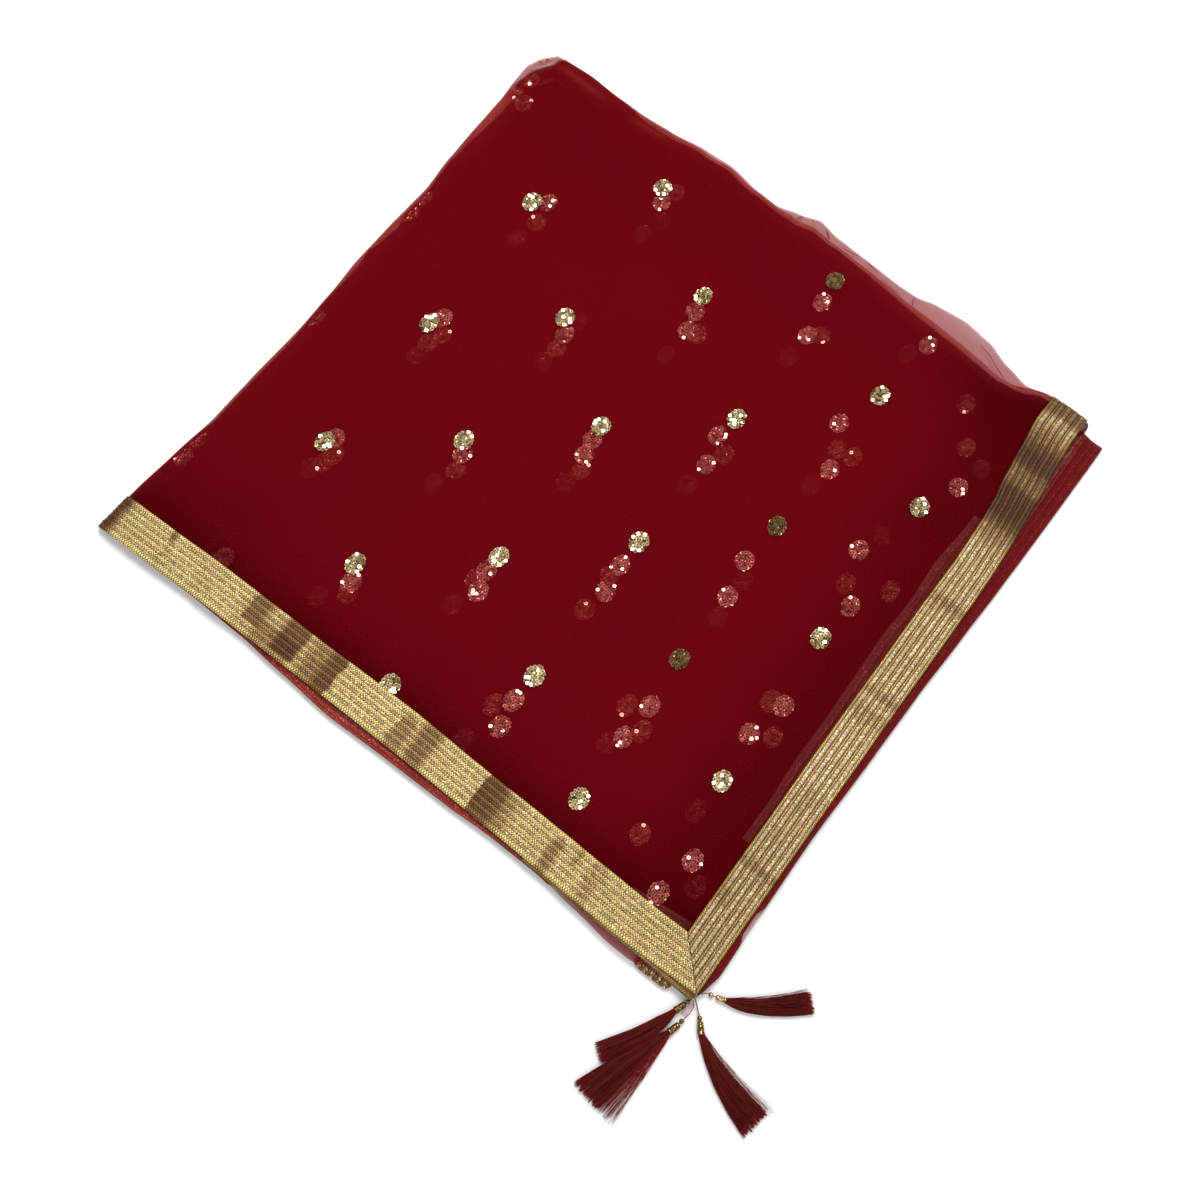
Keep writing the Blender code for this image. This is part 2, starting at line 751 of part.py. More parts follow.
def cap_profile():
    mouth = CAP_LENGTH - CAP_MOUTH_DEPTH
    return (
        (THREAD_HOLE, 0.0), (1.5, 0.0), (2.35, 0.8), (CAP_RADIUS - 0.1, 2.4),
        (CAP_RADIUS, CAP_LENGTH - 0.6), (CAP_RADIUS - 0.1, CAP_LENGTH),
        (CAP_RADIUS - CAP_WALL, CAP_LENGTH), (CAP_RADIUS - CAP_WALL, mouth), (THREAD_HOLE, mouth),
    )


def bead_profile():
    half = BEAD_HALF_LENGTH
    return (
        (THREAD_HOLE, -half), (1.35, -half), (BEAD_RADIUS - 0.15, -0.7 * half + 0.3),
        (BEAD_RADIUS, 0.0), (BEAD_RADIUS - 0.15, 0.7 * half - 0.3), (1.35, half),
        (THREAD_HOLE, half),
    )


def tassel_path(row, t):
    """Centre line of a skirt in plan, from its head at 0 to its end at 1."""
    _, cap_x, cap_y, heading, middle_x, middle_y, end_x, end_y, _ = row
    turn = math.radians(heading)
    start = Vector((cap_x + math.cos(turn) * CAP_LENGTH, cap_y + math.sin(turn) * CAP_LENGTH))
    middle = Vector((middle_x, middle_y))
    end = Vector((end_x, end_y))
    control = middle * 2.0 - (start + end) * 0.5
    return start * (1 - t) ** 2 + control * 2 * t * (1 - t) + end * t * t


def tassel_frame(row, t):
    """Point, forward and sideways directions of a skirt's centre line."""
    if t <= 0.0:
        turn = math.radians(row[3])
        forward = Vector((math.cos(turn), math.sin(turn)))
    else:
        forward = (tassel_path(row, min(1.0, t + 0.02)) - tassel_path(row, t - 0.02)).normalized()
    return tassel_path(row, t), forward, Vector((-forward.y, forward.x))


def make_skirt(row, material, collection):
    """A tassel's skirt: separate locks that grow from the cells of one small head."""
    name = row[0] + "_skirt"
    half_end = row[8]
    shape = bmesh.new()
    bmesh.ops.create_grid(
        shape, x_segments=TASSEL_LOCKS_ACROSS, y_segments=TASSEL_LOCKS_HIGH, size=1.0,
    )
    origin, forward, sideways = tassel_frame(row, 0.0)
    front = list(shape.faces)
    back = bmesh.ops.extrude_face_region(shape, geom=front)
    moved = [v for v in back["geom"] if isinstance(v, bmesh.types.BMVert)]
    moved_set = set(moved)
    for vert in shape.verts:
        across, high = vert.co.x, vert.co.y
        set_back = 0.35 if vert in moved_set else HEAD_LENGTH + 0.1
        place = origin - forward * set_back + sideways * across * HEAD_WIDTH / 2
        corner = 1.0 - 0.18 * abs(across) ** 3
        vert.co = Vector((place.x, place.y, TASSEL_AXIS_HEIGHT + high * HEAD_HEIGHT / 2 * corner)) * MM
    locks = [f for f in back["geom"] if isinstance(f, bmesh.types.BMFace)]
    cells = []
    for face in locks:
        centre = face.calc_center_median() / MM
        plan = Vector((centre.x, centre.y)) - origin
        cells.append((face, plan.dot(sideways) / (HEAD_WIDTH / 2),
                      (centre.z - TASSEL_AXIS_HEIGHT) / (HEAD_HEIGHT / 2)))
    shape.normal_update()
    bmesh.ops.inset_individual(shape, faces=locks, thickness=0.07 * MM, depth=0.0)
    for order, (face, across, high) in enumerate(cells):
        length = 0.9 + 0.1 * math.sin(order * 2.4 + row[1])
        current = face
        for step in range(1, TASSEL_LOCK_STEPS + 1):
            t = length * step / TASSEL_LOCK_STEPS
            made = bmesh.ops.extrude_discrete_faces(shape, faces=[current])
            current = made["faces"][0]
            point, ahead, side = tassel_frame(row, t)
            half = lerp(HEAD_WIDTH / 2, half_end, t)
            spread = lerp(HEAD_HEIGHT, TASSEL_SPREAD_HEIGHT, t) / 2
            axis_height = lerp(TASSEL_AXIS_HEIGHT, FLOOR_CLEARANCE + TASSEL_SPREAD_HEIGHT / 2 + 0.1, t)
            place = point + side * across * half
            centre = Vector((place.x, place.y, axis_height + high * spread))
            lock_half = (half / TASSEL_LOCKS_ACROSS) * lerp(0.80, 0.72, t)
            lock_high = (spread / TASSEL_LOCKS_HIGH) * 0.78
            if step == TASSEL_LOCK_STEPS:
                lock_half *= 0.7
            for vert, (u, w) in zip(current.verts, lock_corners(current, side)):
                offset = side * u * lock_half
                vert.co = (centre + Vector((offset.x, offset.y, w * lock_high))) * MM
    mesh = mesh_from_bmesh(name, shape, 60.0)
    return add_object(name, mesh, material, collection)


def lock_corners(face, side):
    """Which corner of a lock's section each of its points is."""
    centre = face.calc_center_median()
    corners = []
    for vert in face.verts:
        delta = vert.co - centre
        corners.append((1.0 if delta.x * side.x + delta.y * side.y > 0 else -1.0,
                        1.0 if delta.z > 0 else -1.0))
    return corners


def make_thread(row, bead, points, material, collection):
    """Thread from the cloth's corner, through its bead, into the cap."""
    name = row[0] + "_thread"
    turn = math.radians(bead[3])
    ahead = Vector((math.cos(turn), math.sin(turn), 0.0))
    middle = Vector((bead[1], bead[2], TASSEL_AXIS_HEIGHT))
    cap_turn = math.radians(row[3])
    cap_ahead = Vector((math.cos(cap_turn), math.sin(cap_turn), 0.0))
    cap = Vector((row[1], row[2], TASSEL_AXIS_HEIGHT))
    way = [Vector(p) for p in points]
    way += [middle - ahead * (BEAD_HALF_LENGTH + 0.5), middle + ahead * (BEAD_HALF_LENGTH + 0.2)]
    way += [cap - cap_ahead * 0.1, cap + cap_ahead * (CAP_LENGTH - CAP_MOUTH_DEPTH - 0.2)]
    curve = bpy.data.curves.new(name, "CURVE")
    curve.dimensions = "3D"
    curve.bevel_depth = THREAD_RADIUS * MM
    curve.bevel_resolution = 1
    curve.use_fill_caps = True
    spline = curve.splines.new("POLY")
    spline.points.add(len(way) - 1)
    for point, place in zip(spline.points, way):
        point.co = (place.x * MM, place.y * MM, place.z * MM, 1.0)
    return add_object(name, curve, material, collection)


def make_tassels(yarn, metal, collection):
    for row, bead in zip(TASSELS, BEADS):
        make_skirt(row, yarn, collection)
        cap = add_object(row[0] + "_cap", turned(row[0] + "_cap", cap_profile(), 10), metal, collection)
        place_on_axis(cap, row[1], row[2], row[3])
        ball = add_object(row[0] + "_bead", turned(row[0] + "_bead", bead_profile(), 8), metal, collection)
        place_on_axis(ball, bead[1], bead[2], bead[3])
        make_thread(row, bead, THREADS[row[0]], yarn, collection)


def make_corner_pieces(lace, net, collection):
    for name, x0, y0, x1, y1, start, end, bottom, height in CORNER_PIECES:
        ahead = Vector((x1 - x0, y1 - y0)).normalized()
        side = Vector((-ahead.y, ahead.x))
        rings = []
        for t in (0.0, 0.34, 0.67, 1.0):
            centre = Vector((lerp(x0, x1, t), lerp(y0, y1, t)))
            half = lerp(start, end, t) / 2
            lift = bottom + 0.25 * math.sin(3.0 * t + x0)
            ring = []
            for u, z in ((-1.0, 0.0), (1.0, 0.0), (1.0, height), (0.0, height * 1.15), (-1.0, height)):
                place = centre + side * u * half
                ring.append((place.x, place.y, max(FLOOR_CLEARANCE, lift + z)))
            rings.append(ring)
        material = net if "net" in name else lace
        add_object(name, loft(name, rings), material, collection)


def main():
    clear_scene()
    collection = bpy.data.collections.new("dupatta_stole")
    bpy.context.scene.collection.children.link(collection)
    net = make_material("net", MAROON, 0.6, 0.0)
    deep = make_material("net_layers", DEEP_MAROON, 0.7, 0.0)
    lace = make_material("lace", GOLD_LACE, 0.45, 0.5)
    dark_lace = make_material("lace_reverse", DARK_LACE, 0.55, 0.3)
    pale = make_material("net_single", PALE_NET, 0.6, 0.0)
    yarn = make_material("tassel_yarn", MAROON, 0.65, 0.0)
    metal = make_material("gold_metal", GOLD_METAL, 0.25, 1.0)

    make_hidden_layers(deep, collection)
    make_second_layer(net, collection)
    make_second_laces(dark_lace, collection)
    make_top_layer(net, collection)
    make_side_lace(lace, collection)
    make_end_lace(lace, collection)
    make_corner_pieces(dark_lace, pale, collection)
    make_tassels(yarn, metal, collection)


main()
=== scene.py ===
"""Folded net dupatta stole: its finishes, sheer layers, lace, sequin flowers and tassels.

Every length in the tables and dataclasses is in millimetres unless its name says
otherwise; meshes are written in metres, in the frame of the part's solids.
"""

from __future__ import annotations

import logging
import math
import random
from dataclasses import dataclass, field
from enum import Enum
from typing import Callable, Sequence

import bpy
import numpy as np
from mathutils import Euler, Matrix, Vector


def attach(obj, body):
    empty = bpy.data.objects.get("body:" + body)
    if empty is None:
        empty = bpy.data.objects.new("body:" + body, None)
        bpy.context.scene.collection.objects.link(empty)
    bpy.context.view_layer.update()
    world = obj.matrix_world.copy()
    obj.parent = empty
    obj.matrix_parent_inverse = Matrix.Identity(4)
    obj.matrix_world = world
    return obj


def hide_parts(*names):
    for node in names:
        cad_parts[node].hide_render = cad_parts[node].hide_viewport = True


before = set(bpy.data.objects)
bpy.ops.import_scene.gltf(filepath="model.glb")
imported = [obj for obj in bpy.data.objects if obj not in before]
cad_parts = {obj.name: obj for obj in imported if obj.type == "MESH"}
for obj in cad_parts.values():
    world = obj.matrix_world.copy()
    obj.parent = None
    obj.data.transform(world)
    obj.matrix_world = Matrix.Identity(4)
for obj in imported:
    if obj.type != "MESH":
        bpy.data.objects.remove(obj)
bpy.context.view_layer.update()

LOG = logging.getLogger("dupatta")
logging.basicConfig(level=logging.INFO, format="%(message)s")

MM = 0.001
BODY = "root"
QUARTER = math.pi / 2
TINY = 1e-9
ROUNDS = 4  # of working out places along X and along Y from each other
ROUND = 180  # no edge of such a mesh is sharp
UP = (0, 0, 1)

Array = np.ndarray
Table = tuple[tuple[float, ...], ...]
Colour = tuple[float, float, float]
Place = tuple[float, float, float]
Pair = tuple[Array, Array]
Piece = bpy.types.Object
Inputs = dict[str | int, object] | Sequence[object]


# ------------------------------------------------------ shader maths


def maths(operation: str, swap: bool = False) -> Callable[..., "Sock"]:
    """Make the method that adds one kind of Math node.

    Args:
        operation: The operation's type name.
        swap: Whether the socket that it is called on is the second operand.

    Returns:
        The method, which takes the other operands, sockets or numbers.
    """
    def apply(sock: "Sock", *others: "Sock | float") -> "Sock":
        """Add the node."""
        operands = (*others, sock) if swap else (sock, *others)
        return sock.shader.result("ShaderNodeMath", {"operation": operation}, operands)

    return apply


@dataclass(frozen=True)
class Sock:
    """One output of a material's node, with arithmetic that adds Math nodes."""

    shader: "Shader"
    socket: bpy.types.NodeSocket

    __add__ = __radd__ = maths("ADD")
    __mul__ = __rmul__ = maths("MULTIPLY")
    __sub__ = maths("SUBTRACT")
    __rsub__ = maths("SUBTRACT", swap=True)
    __truediv__ = maths("DIVIDE")
    __mod__ = maths("FLOORED_MODULO")
    __pow__ = maths("POWER")
    __gt__ = maths("GREATER_THAN")
    __lt__ = maths("LESS_THAN")
    __abs__ = maths("ABSOLUTE")
    sine = maths("SINE")
    least = maths("MINIMUM")
    most = maths("MAXIMUM")

    def step(self, low: float, high: float) -> "Sock":
        """Smooth step from 0 at low to 1 at high.

        Args:
            low: Value at which the result starts to leave 0.
            high: Value at which it is 1, above or below low.

        Returns:
            The eased share.
        """
        return self.shader.result(
            "ShaderNodeMapRange", {"interpolation_type": "SMOOTHSTEP"},
            {"Value": self, "From Min": low, "From Max": high, "To Min": 0, "To Max": 1})


@dataclass
class Shader:
    """A node material under construction."""

    name: str
    material: bpy.types.Material = field(init=False)
    surface: bpy.types.Node = field(init=False)

    def __post_init__(self) -> None:
        """Make the material with its one Principled shader."""
        self.material = bpy.data.materials.new(self.name)
        self.material.use_nodes = True
        self.surface = self.material.node_tree.nodes["Principled BSDF"]

    def node(self, kind: str, settings: dict[str, object],
             inputs: Inputs = ()) -> bpy.types.Node:
        """Add one node.

        Args:
            kind: The node's type name.
            settings: Its properties, set first; "stops" fills a colour ramp.
            inputs: Its sockets' values or links, by name or number, or in order.

        Returns:
            The node.
        """
        made = self.material.node_tree.nodes.new(kind)
        for key, value in settings.items():
            if key == "stops":
                elements = made.color_ramp.elements
                elements.remove(elements[-1])
                elements[0].position, elements[0].color = value[0][0], (*value[0][1], 1)
                for place, colour in value[1:]:
                    elements.new(place).color = (*colour, 1)
            else:
                setattr(made, key, value)
        named = inputs.items() if isinstance(inputs, dict) else enumerate(inputs)
        for key, value in named:
            self.feed(made.inputs[key], value)
        return made

    def result(self, kind: str, settings: dict[str, object], inputs: Inputs = (),
               output: str | int = 0) -> Sock:
        """Add one node and take one of its outputs."""
        return Sock(self, self.node(kind, settings, inputs).outputs[output])

    def feed(self, socket: bpy.types.NodeSocket, value: object) -> None:
        """Link a Sock to a socket, or set the socket's value.

        Args:
            socket: The socket.
            value: A Sock, a number, or three numbers.
        """
        if isinstance(value, Sock):
            self.material.node_tree.links.new(value.socket, socket)
        elif isinstance(value, tuple) and socket.type == "RGBA":
            socket.default_value = (*value, 1)
        else:
            socket.default_value = value

    def attribute(self, name: str) -> Sock:
        """A number stored on the mesh."""
        return self.result("ShaderNodeAttribute", {"attribute_name": name}, output="Fac")

    def split(self, place: Sock) -> list[Sock]:
        """The three parts of a vector."""
        made = self.node("ShaderNodeSeparateXYZ", {}, (place,))
        return [Sock(self, output) for output in made.outputs]

    def cloth_place(self) -> tuple[Sock, Sock, Sock]:
        """Place on the cloth.

        Returns:
            The UV vector, and its two parts in millimetres.
        """
        uv = self.result("ShaderNodeTexCoord", {}, output="UV")
        along, across, _ = self.split(uv)
        return uv, along * 1000, across * 1000

    def object_place(self) -> Sock:
        """Object coordinates, in metres."""
        return self.result("ShaderNodeTexCoord", {}, output="Object")

    def noise(self, place: Sock, scale: float, detail: float = 2.0, rough: float = 0.5) -> Sock:
        """Soft noise from 0 to 1.

        Args:
            place: Vector that it is read at.
            scale: Blobs per metre.
            detail: Octaves.
            rough: How strong the fine octaves are.

        Returns:
            The noise.
        """
        return self.result(
            "ShaderNodeTexNoise", {},
            {"Vector": place, "Scale": scale, "Detail": detail, "Roughness": rough}, "Fac")

    def cells(self, place: Sock, scale: float) -> Sock:
        """A random number for each small cell.

        Args:
            place: Vector that it is read at.
            scale: Cells per metre.

        Returns:
            The number, from 0 to 1.
        """
        colour = self.result(
            "ShaderNodeTexVoronoi", {}, {"Vector": place, "Scale": scale}, "Color")
        return self.result("ShaderNodeSeparateColor", {}, (colour,))

    def mix(self, share: "Sock | float", first: object, second: object,
            how: str = "MIX") -> Sock:
        """Blend two colours.

        Args:
            share: Share of the second colour.
            first: The first colour, a Sock or three numbers.
            second: The second colour.
            how: Blend type.

        Returns:
            The blended colour.
        """
        return self.result(
            "ShaderNodeMix", {"data_type": "RGBA", "blend_type": how, "clamp_factor": True},
            {0: share, 6: first, 7: second}, 2)

    def tint(self, colour: Sock | Colour, gain: Sock) -> Sock:
        """Colour made lighter or darker by a number."""
        return self.result(
            "ShaderNodeVectorMath", {"operation": "SCALE"}, {0: colour, 3: gain})

    def bump(self, height: Sock, distance: float, strength: float) -> None:
        """Bump the surface by a height field.

        Args:
            height: The height field, from 0 to 1.
            distance: Height of a 1, in metres.
            strength: Share of the bump that shows.
        """
        self.set(Normal=self.result(
            "ShaderNodeBump", {},
            {"Strength": strength, "Distance": distance, "Height": height}, "Normal"))

    def set(self, **values: object) -> None:
        """Set or feed inputs of the surface shader, underscores standing for spaces."""
        for key, value in values.items():
            self.feed(self.surface.inputs[key.replace("_", " ")], value)


# ---------------------------------------------------------- finishes


class Slot(Enum):
    """The record's material slots."""

    NET = "net"
    NET_LAYERS = "net_layers"
    NET_SINGLE = "net_single"
    LACE = "lace"
    LACE_REVERSE = "lace_reverse"
    YARN = "tassel_yarn"
    GOLD = "gold_metal"


@dataclass(frozen=True)
class NetFinish:
    """Sheer net: fine crossed threads, each mesh smaller than the eye resolves."""

    name: str
    # Colour over the deep layers, and a paler colour over the floor, which is painted light: the
    # floor's light that comes up through the threads
    over_cloth: Colour
    over_floor: Colour
    cover: float
    cover_over_floor: float
    thread_pitch: float = 1.15
    most_cover: float = 0.96

    def material(self) -> bpy.types.Material:
        """Build the net's material.

        Returns:
            The material, whose alpha is the share that threads cover.
        """
        shader = Shader(self.name)
        uv, along, across = shader.cloth_place()
        turn = math.tau / self.thread_pitch
        warp = ((along + across * 0.5) * turn).sine()
        weft = ((along - across * 0.5) * turn).sine()
        threads = warp.most(weft) * 0.5 + 0.5
        cloudy = shader.noise(uv, 9, 3, 0.55)
        grain = shader.noise(uv, 420, 2, 0.6)
        beyond = shader.attribute("beyond")
        gain = (0.88 + threads * 0.08 + cloudy * 0.12 + grain * 0.1) * shader.attribute("shade")
        # Where the floor lies beneath, the colour turns to the painted paler one
        colour = shader.tint(shader.mix(beyond, self.over_cloth, self.over_floor), gain)
        cover = self.cover + beyond * (self.cover_over_floor - self.cover)
        cover = cover * (0.9 + threads * 0.1 + grain * 0.12) + shader.attribute("doubled")
        shader.set(Base_Color=colour, Alpha=cover.least(self.most_cover), Roughness=0.7,
                   Specular_IOR_Level=0)
        shader.bump(threads * 0.6 + grain * 0.4, 0.00008, 0.12)
        return shader.material


@dataclass(frozen=True)
class StackFinish:
    """Many net layers on each other, too deep to see through."""

    name: str = "net_stack"
    colour: Colour = (0.116, 0.0015, 0.0044)
    leaf: float = 0.0008

    def material(self) -> bpy.types.Material:
        """Build the deep net's material.

        Returns:
            The material.
        """
        shader = Shader(self.name)
        place = shader.object_place()
        cloudy = shader.noise(place, 7, 3, 0.5)
        fine = shader.noise(place, 900, 2, 0.6)
        leaves = (shader.split(place)[2] * (math.tau / self.leaf)).sine()
        gain = (0.86 + cloudy * 0.2 + fine * 0.08) * shader.attribute("shade")
        shader.set(Base_Color=shader.tint(self.colour, gain), Roughness=0.8,
                   Specular_IOR_Level=0)
        shader.bump(leaves * 0.5 + fine * 0.5, 0.00015, 0.3)
        return shader.material


@dataclass(frozen=True)
class LacePattern:
    """Rows of the braided lace, across its width."""

    width: float = 32.0
    edge: float = 2.8
    braid: float = 3.1
    pair: float = 2.72
    braids: int = 5
    plait: float = 2.4
    twist: float = 1.7
    cord_shift: float = 0.22
    cord_radius: float = 0.80
    crossed: bool = False
    # Shares of a row's width, with the height there
    cord_rows: Table = ((0.23, 0.5), (0.5, 0.14), (0.77, 0.5))
    braid_rows: Table = ((0, 0.05), (0.18, 0.46), (0.5, 0.62), (0.82, 0.46), (1, 0.05))

    @property
    def pitch(self) -> float:
        """Width of one braid with its pair of cords."""
        return self.braid + self.pair

    @property
    def outer_edge(self) -> float:
        """Width of the cords along the outer edge."""
        return self.width - self.edge - self.braids * self.braid - (self.braids - 1) * self.pair

    def rows(self) -> list[tuple[float, float, bool]]:
        """Points across the band.

        Returns:
            Each point's place, its height above the ground cloth, and whether it is a braid's.
        """
        points = [(0, 0, False)]

        def row(start: float, width: float, is_braid: bool) -> None:
            """Add one braid or one pair of cords."""
            for share, height in self.braid_rows if is_braid else self.cord_rows:
                points.append((start + share * width, height, is_braid))

        row(0, self.edge, False)
        for index in range(self.braids):
            start = self.edge + index * self.pitch
            row(start, self.braid, True)
            if index < self.braids - 1:
                row(start + self.braid, self.pair, False)
        row(self.width - self.outer_edge, self.outer_edge, False)
        return points + [(self.width, 0, False)]


@dataclass(frozen=True)
class LaceFinish:
    """Metallic braid lace: champagne plaits between twisted gold cords, with painted shade and
    glints.
    """

    name: str
    plait_light: Colour = (0.83, 0.67, 0.42)
    plait_dark: Colour = (0.25, 0.155, 0.07)
    cord_light: Colour = (0.68, 0.46, 0.135)
    cord_dark: Colour = (0.1, 0.046, 0.005)
    # Strength of the painted glints
    glint: float = 0.8
    metallic: float = 0.5
    pattern: LacePattern = LacePattern()
    # Tint for each value of the stored shade, read at four fifths of it: painted shade on the
    # bands, a gentle random wander on the plain strips
    shade_tints: tuple[tuple[float, Colour], ...] = (
        (0, (0.08, 0.03, 0.01)), (0.208, (0.175, 0.088, 0.038)),
        (0.287, (0.26, 0.165, 0.088)), (0.48, (0.5, 0.42, 0.33)),
        (0.8, (0.9, 0.9, 0.9)), (1, (1, 1, 1)))

    def material(self) -> bpy.types.Material:
        """Build the lace's material.

        Returns:
            The material, laid out by the band's UV map: along it, then across it.
        """
        shader, lace = Shader(self.name), self.pattern
        uv, along, across = shader.cloth_place()
        flakes, fine = shader.cells(uv, 1000), shader.cells(uv, 1900)
        worn = shader.noise(uv, 60, 3, 0.65)
        inside = (across - lace.edge) % lace.pitch
        off_edges = (across > lace.edge) * (across < lace.width - lace.outer_edge)
        braid = (inside < lace.braid) * off_edges

        middle = abs(inside - lace.braid / 2) / (lace.braid / 2)
        beat = (along / lace.plait + middle * 0.5 + worn * 0.8) % 1
        ridge = 1 - abs(beat * 2 - 1)
        light = ridge.step(0.1, 0.8) * 0.46 + flakes * 0.7 + worn * 0.3
        # Painted shade: each plait darkens towards its edges, beside the cords
        light = light - middle ** 4 * 0.42 - 0.2
        plait = shader.mix(light.least(1), self.plait_dark, self.plait_light)

        in_pair = inside - lace.braid - lace.pair / 2 - lace.cord_shift
        in_inner = (across - lace.edge / 2) * (lace.pair / lace.edge)
        in_outer = (across - lace.width + lace.outer_edge / 2) * (lace.pair / lace.outer_edge)
        in_edge = in_inner + (in_outer - in_inner) * (across > lace.width / 2)
        place = in_edge * 0.72 + (in_pair - in_edge * 0.72) * off_edges
        hollow = abs(place / lace.cord_radius).least(1)
        round_cord = 1 - hollow * hollow
        rising, falling = (abs((along + place * side) / lace.twist % 1 * 2 - 1)
                           for side in (1, -1))
        twist = (rising.least(falling) if lace.crossed else rising).step(0.1, 0.6)
        # Painted shade: each cord is light along its crest and dark at its sides
        light = round_cord * twist + fine * 0.34 + worn * 0.3 - 0.28
        cord = shader.mix(light.least(1), self.cord_dark, self.cord_light)

        # Painted shade, read from the stored shade and given as a tint
        lit = shader.attribute("shade")
        shade_tints = shader.result("ShaderNodeValToRGB", {"stops": self.shade_tints}, (lit * 0.8,))
        colour = shader.mix(1, shader.mix(braid, cord, plait), shade_tints, "MULTIPLY")
        # Painted glints: a few flecks brightened in colour, more where the painted shade is light
        painted_glint = (flakes > 0.86) * (fine > 0.35) * self.glint * lit
        shader.set(Base_Color=shader.tint(colour, 1 + painted_glint), Metallic=self.metallic,
                   Roughness=0.42 + hollow * 0.2 - painted_glint * 0.14)
        plaits, cords = ridge * 0.5 + flakes * 0.5, twist * 0.4 + round_cord * 0.6
        shader.bump(braid * plaits + (1 - braid) * cords, 0.0003, 0.9)
        return shader.material


@dataclass(frozen=True)
class SequinFinish:
    """Small metallic sequins, each a slightly different tone, with painted highlights and painted
    shade.
    """

    name: str
    light: Colour = (0.86, 0.68, 0.35)
    dark: Colour = (0.13, 0.06, 0.006)
    # Colour of the painted highlights on the rims and on the sequins that face the light
    rim: Colour = (1, 0.9, 0.66)

    def material(self) -> bpy.types.Material:
        """Build the sequins' material.

        Returns:
            The material.
        """
        shader = Shader(self.name)
        film = shader.noise(shader.object_place(), 600)
        tone, rim = shader.attribute("tone"), shader.attribute("rim")
        # Colour of the painted shade around each hole
        hole = tuple(part * 0.45 for part in self.dark)
        colour = shader.mix((tone * 1.05 + film * 0.2 - 0.06).least(1), self.dark, self.light)
        # Painted highlight along each sequin's rim
        colour = shader.mix(rim.step(0.5, 0.95) * (tone * 0.55 + 0.12), colour, self.rim)
        # Painted glint on the sequins that face the light
        colour = shader.mix(tone.step(0.93, 1) * 0.5, colour, self.rim)
        # Painted shade around the hole
        colour = shader.mix(rim.step(-0.1, -0.7) * 0.9, colour, hole)
        shader.set(Base_Color=colour, Metallic=0.9, Roughness=0.13 + film * 0.08)
        shader.bump(film, 0.00004, 0.4)
        return shader.material


@dataclass(frozen=True)
class YarnFinish:
    """Silky thread."""

    name: str
    light: Colour = (0.185, 0.017, 0.013)
    dark: Colour = (0.02, 0.0008, 0.0012)
    tip: Colour = (0.26, 0.018, 0.018)
    ply: float = 0.9

    def material(self) -> bpy.types.Material:
        """Build the yarn's material.

        Returns:
            The material, lighter at its cut ends.
        """
        shader = Shader(self.name)
        along = shader.cloth_place()[1]
        ply = (along * (math.tau / self.ply)).sine() * 0.5 + 0.5
        streak = shader.noise(shader.object_place(), 240)
        light = (shader.attribute("tone") * 0.7 + streak * 0.35).least(1)
        tip = shader.attribute("cut_end").step(0.93, 1) * 0.75
        colour = shader.mix(tip, shader.mix(light, self.dark, self.light), self.tip)
        shader.set(Base_Color=shader.tint(colour, 0.9 + ply * 0.2), Roughness=0.5 + ply * 0.1,
                   Specular_IOR_Level=0.06)
        shader.bump(ply, 0.00008, 0.5)
        return shader.material


@dataclass(frozen=True)
class GoldFinish:
    """Bright gold plating with faint wear."""

    name: str = "gold_plate"
    bright: Colour = (0.74, 0.59, 0.3)
    worn: Colour = (0.25, 0.155, 0.05)

    def material(self) -> bpy.types.Material:
        """Build the gold's material.

        Returns:
            The material.
        """
        shader = Shader(self.name)
        place = shader.object_place()
        patches = shader.noise(place, 420, 3, 0.6)
        fine = shader.noise(place, 2600)
        shader.set(Base_Color=shader.mix(patches.step(0.62, 0.36), self.worn, self.bright),
                   Metallic=1, Roughness=0.14 + fine * 0.16)
        shader.bump(fine, 0.00003, 0.5)
        return shader.material


Finish = NetFinish | StackFinish | LaceFinish | SequinFinish | YarnFinish | GoldFinish


# ------------------------------------------------------ cloth's form

# The fold at -X: the cloth's outline, and where the layers under it begin
LEFT_FOLD: Table = (
    # y, outline_x, layers_x, roll_height, roll_width
    (-281, -281, -279.5, 7.5, 3.6), (-262, -280.4, -278.3, 7.5, 3.6),
    (-238, -280.6, -276.6, 5.5, 3.2), (-200, -278.6, -273.7, 4, 2.8),
    (-160, -275.4, -271.2, 3.6, 2.6), (-110, -275.8, -270.7, 3.2, 2.4),
    (-60, -274.8, -270.2, 3.6, 2.6), (-20, -276.6, -272.2, 3.6, 2.6),
    (20, -279.6, -274.2, 3.2, 2.4), (60, -279.8, -272.2, 3, 2.4), (105, -278.8, -274.2, 3.4, 2.4),
    (140, -282.6, -275.2, 3, 2.4), (180, -284.6, -274.2, 2.8, 2.2),
    (215, -285.8, -276.2, 2.6, 2.2), (240, -288.6, -278.7, 2.6, 2.2),
    (257, -289.4, -277.9, 2.6, 2.2), (267, -285.9, -274.9, 2.6, 2.2),
    (274, -281.6, -272.4, 2.6, 2.2), (280, -276.8, -271, 2.6, 2.2),
)

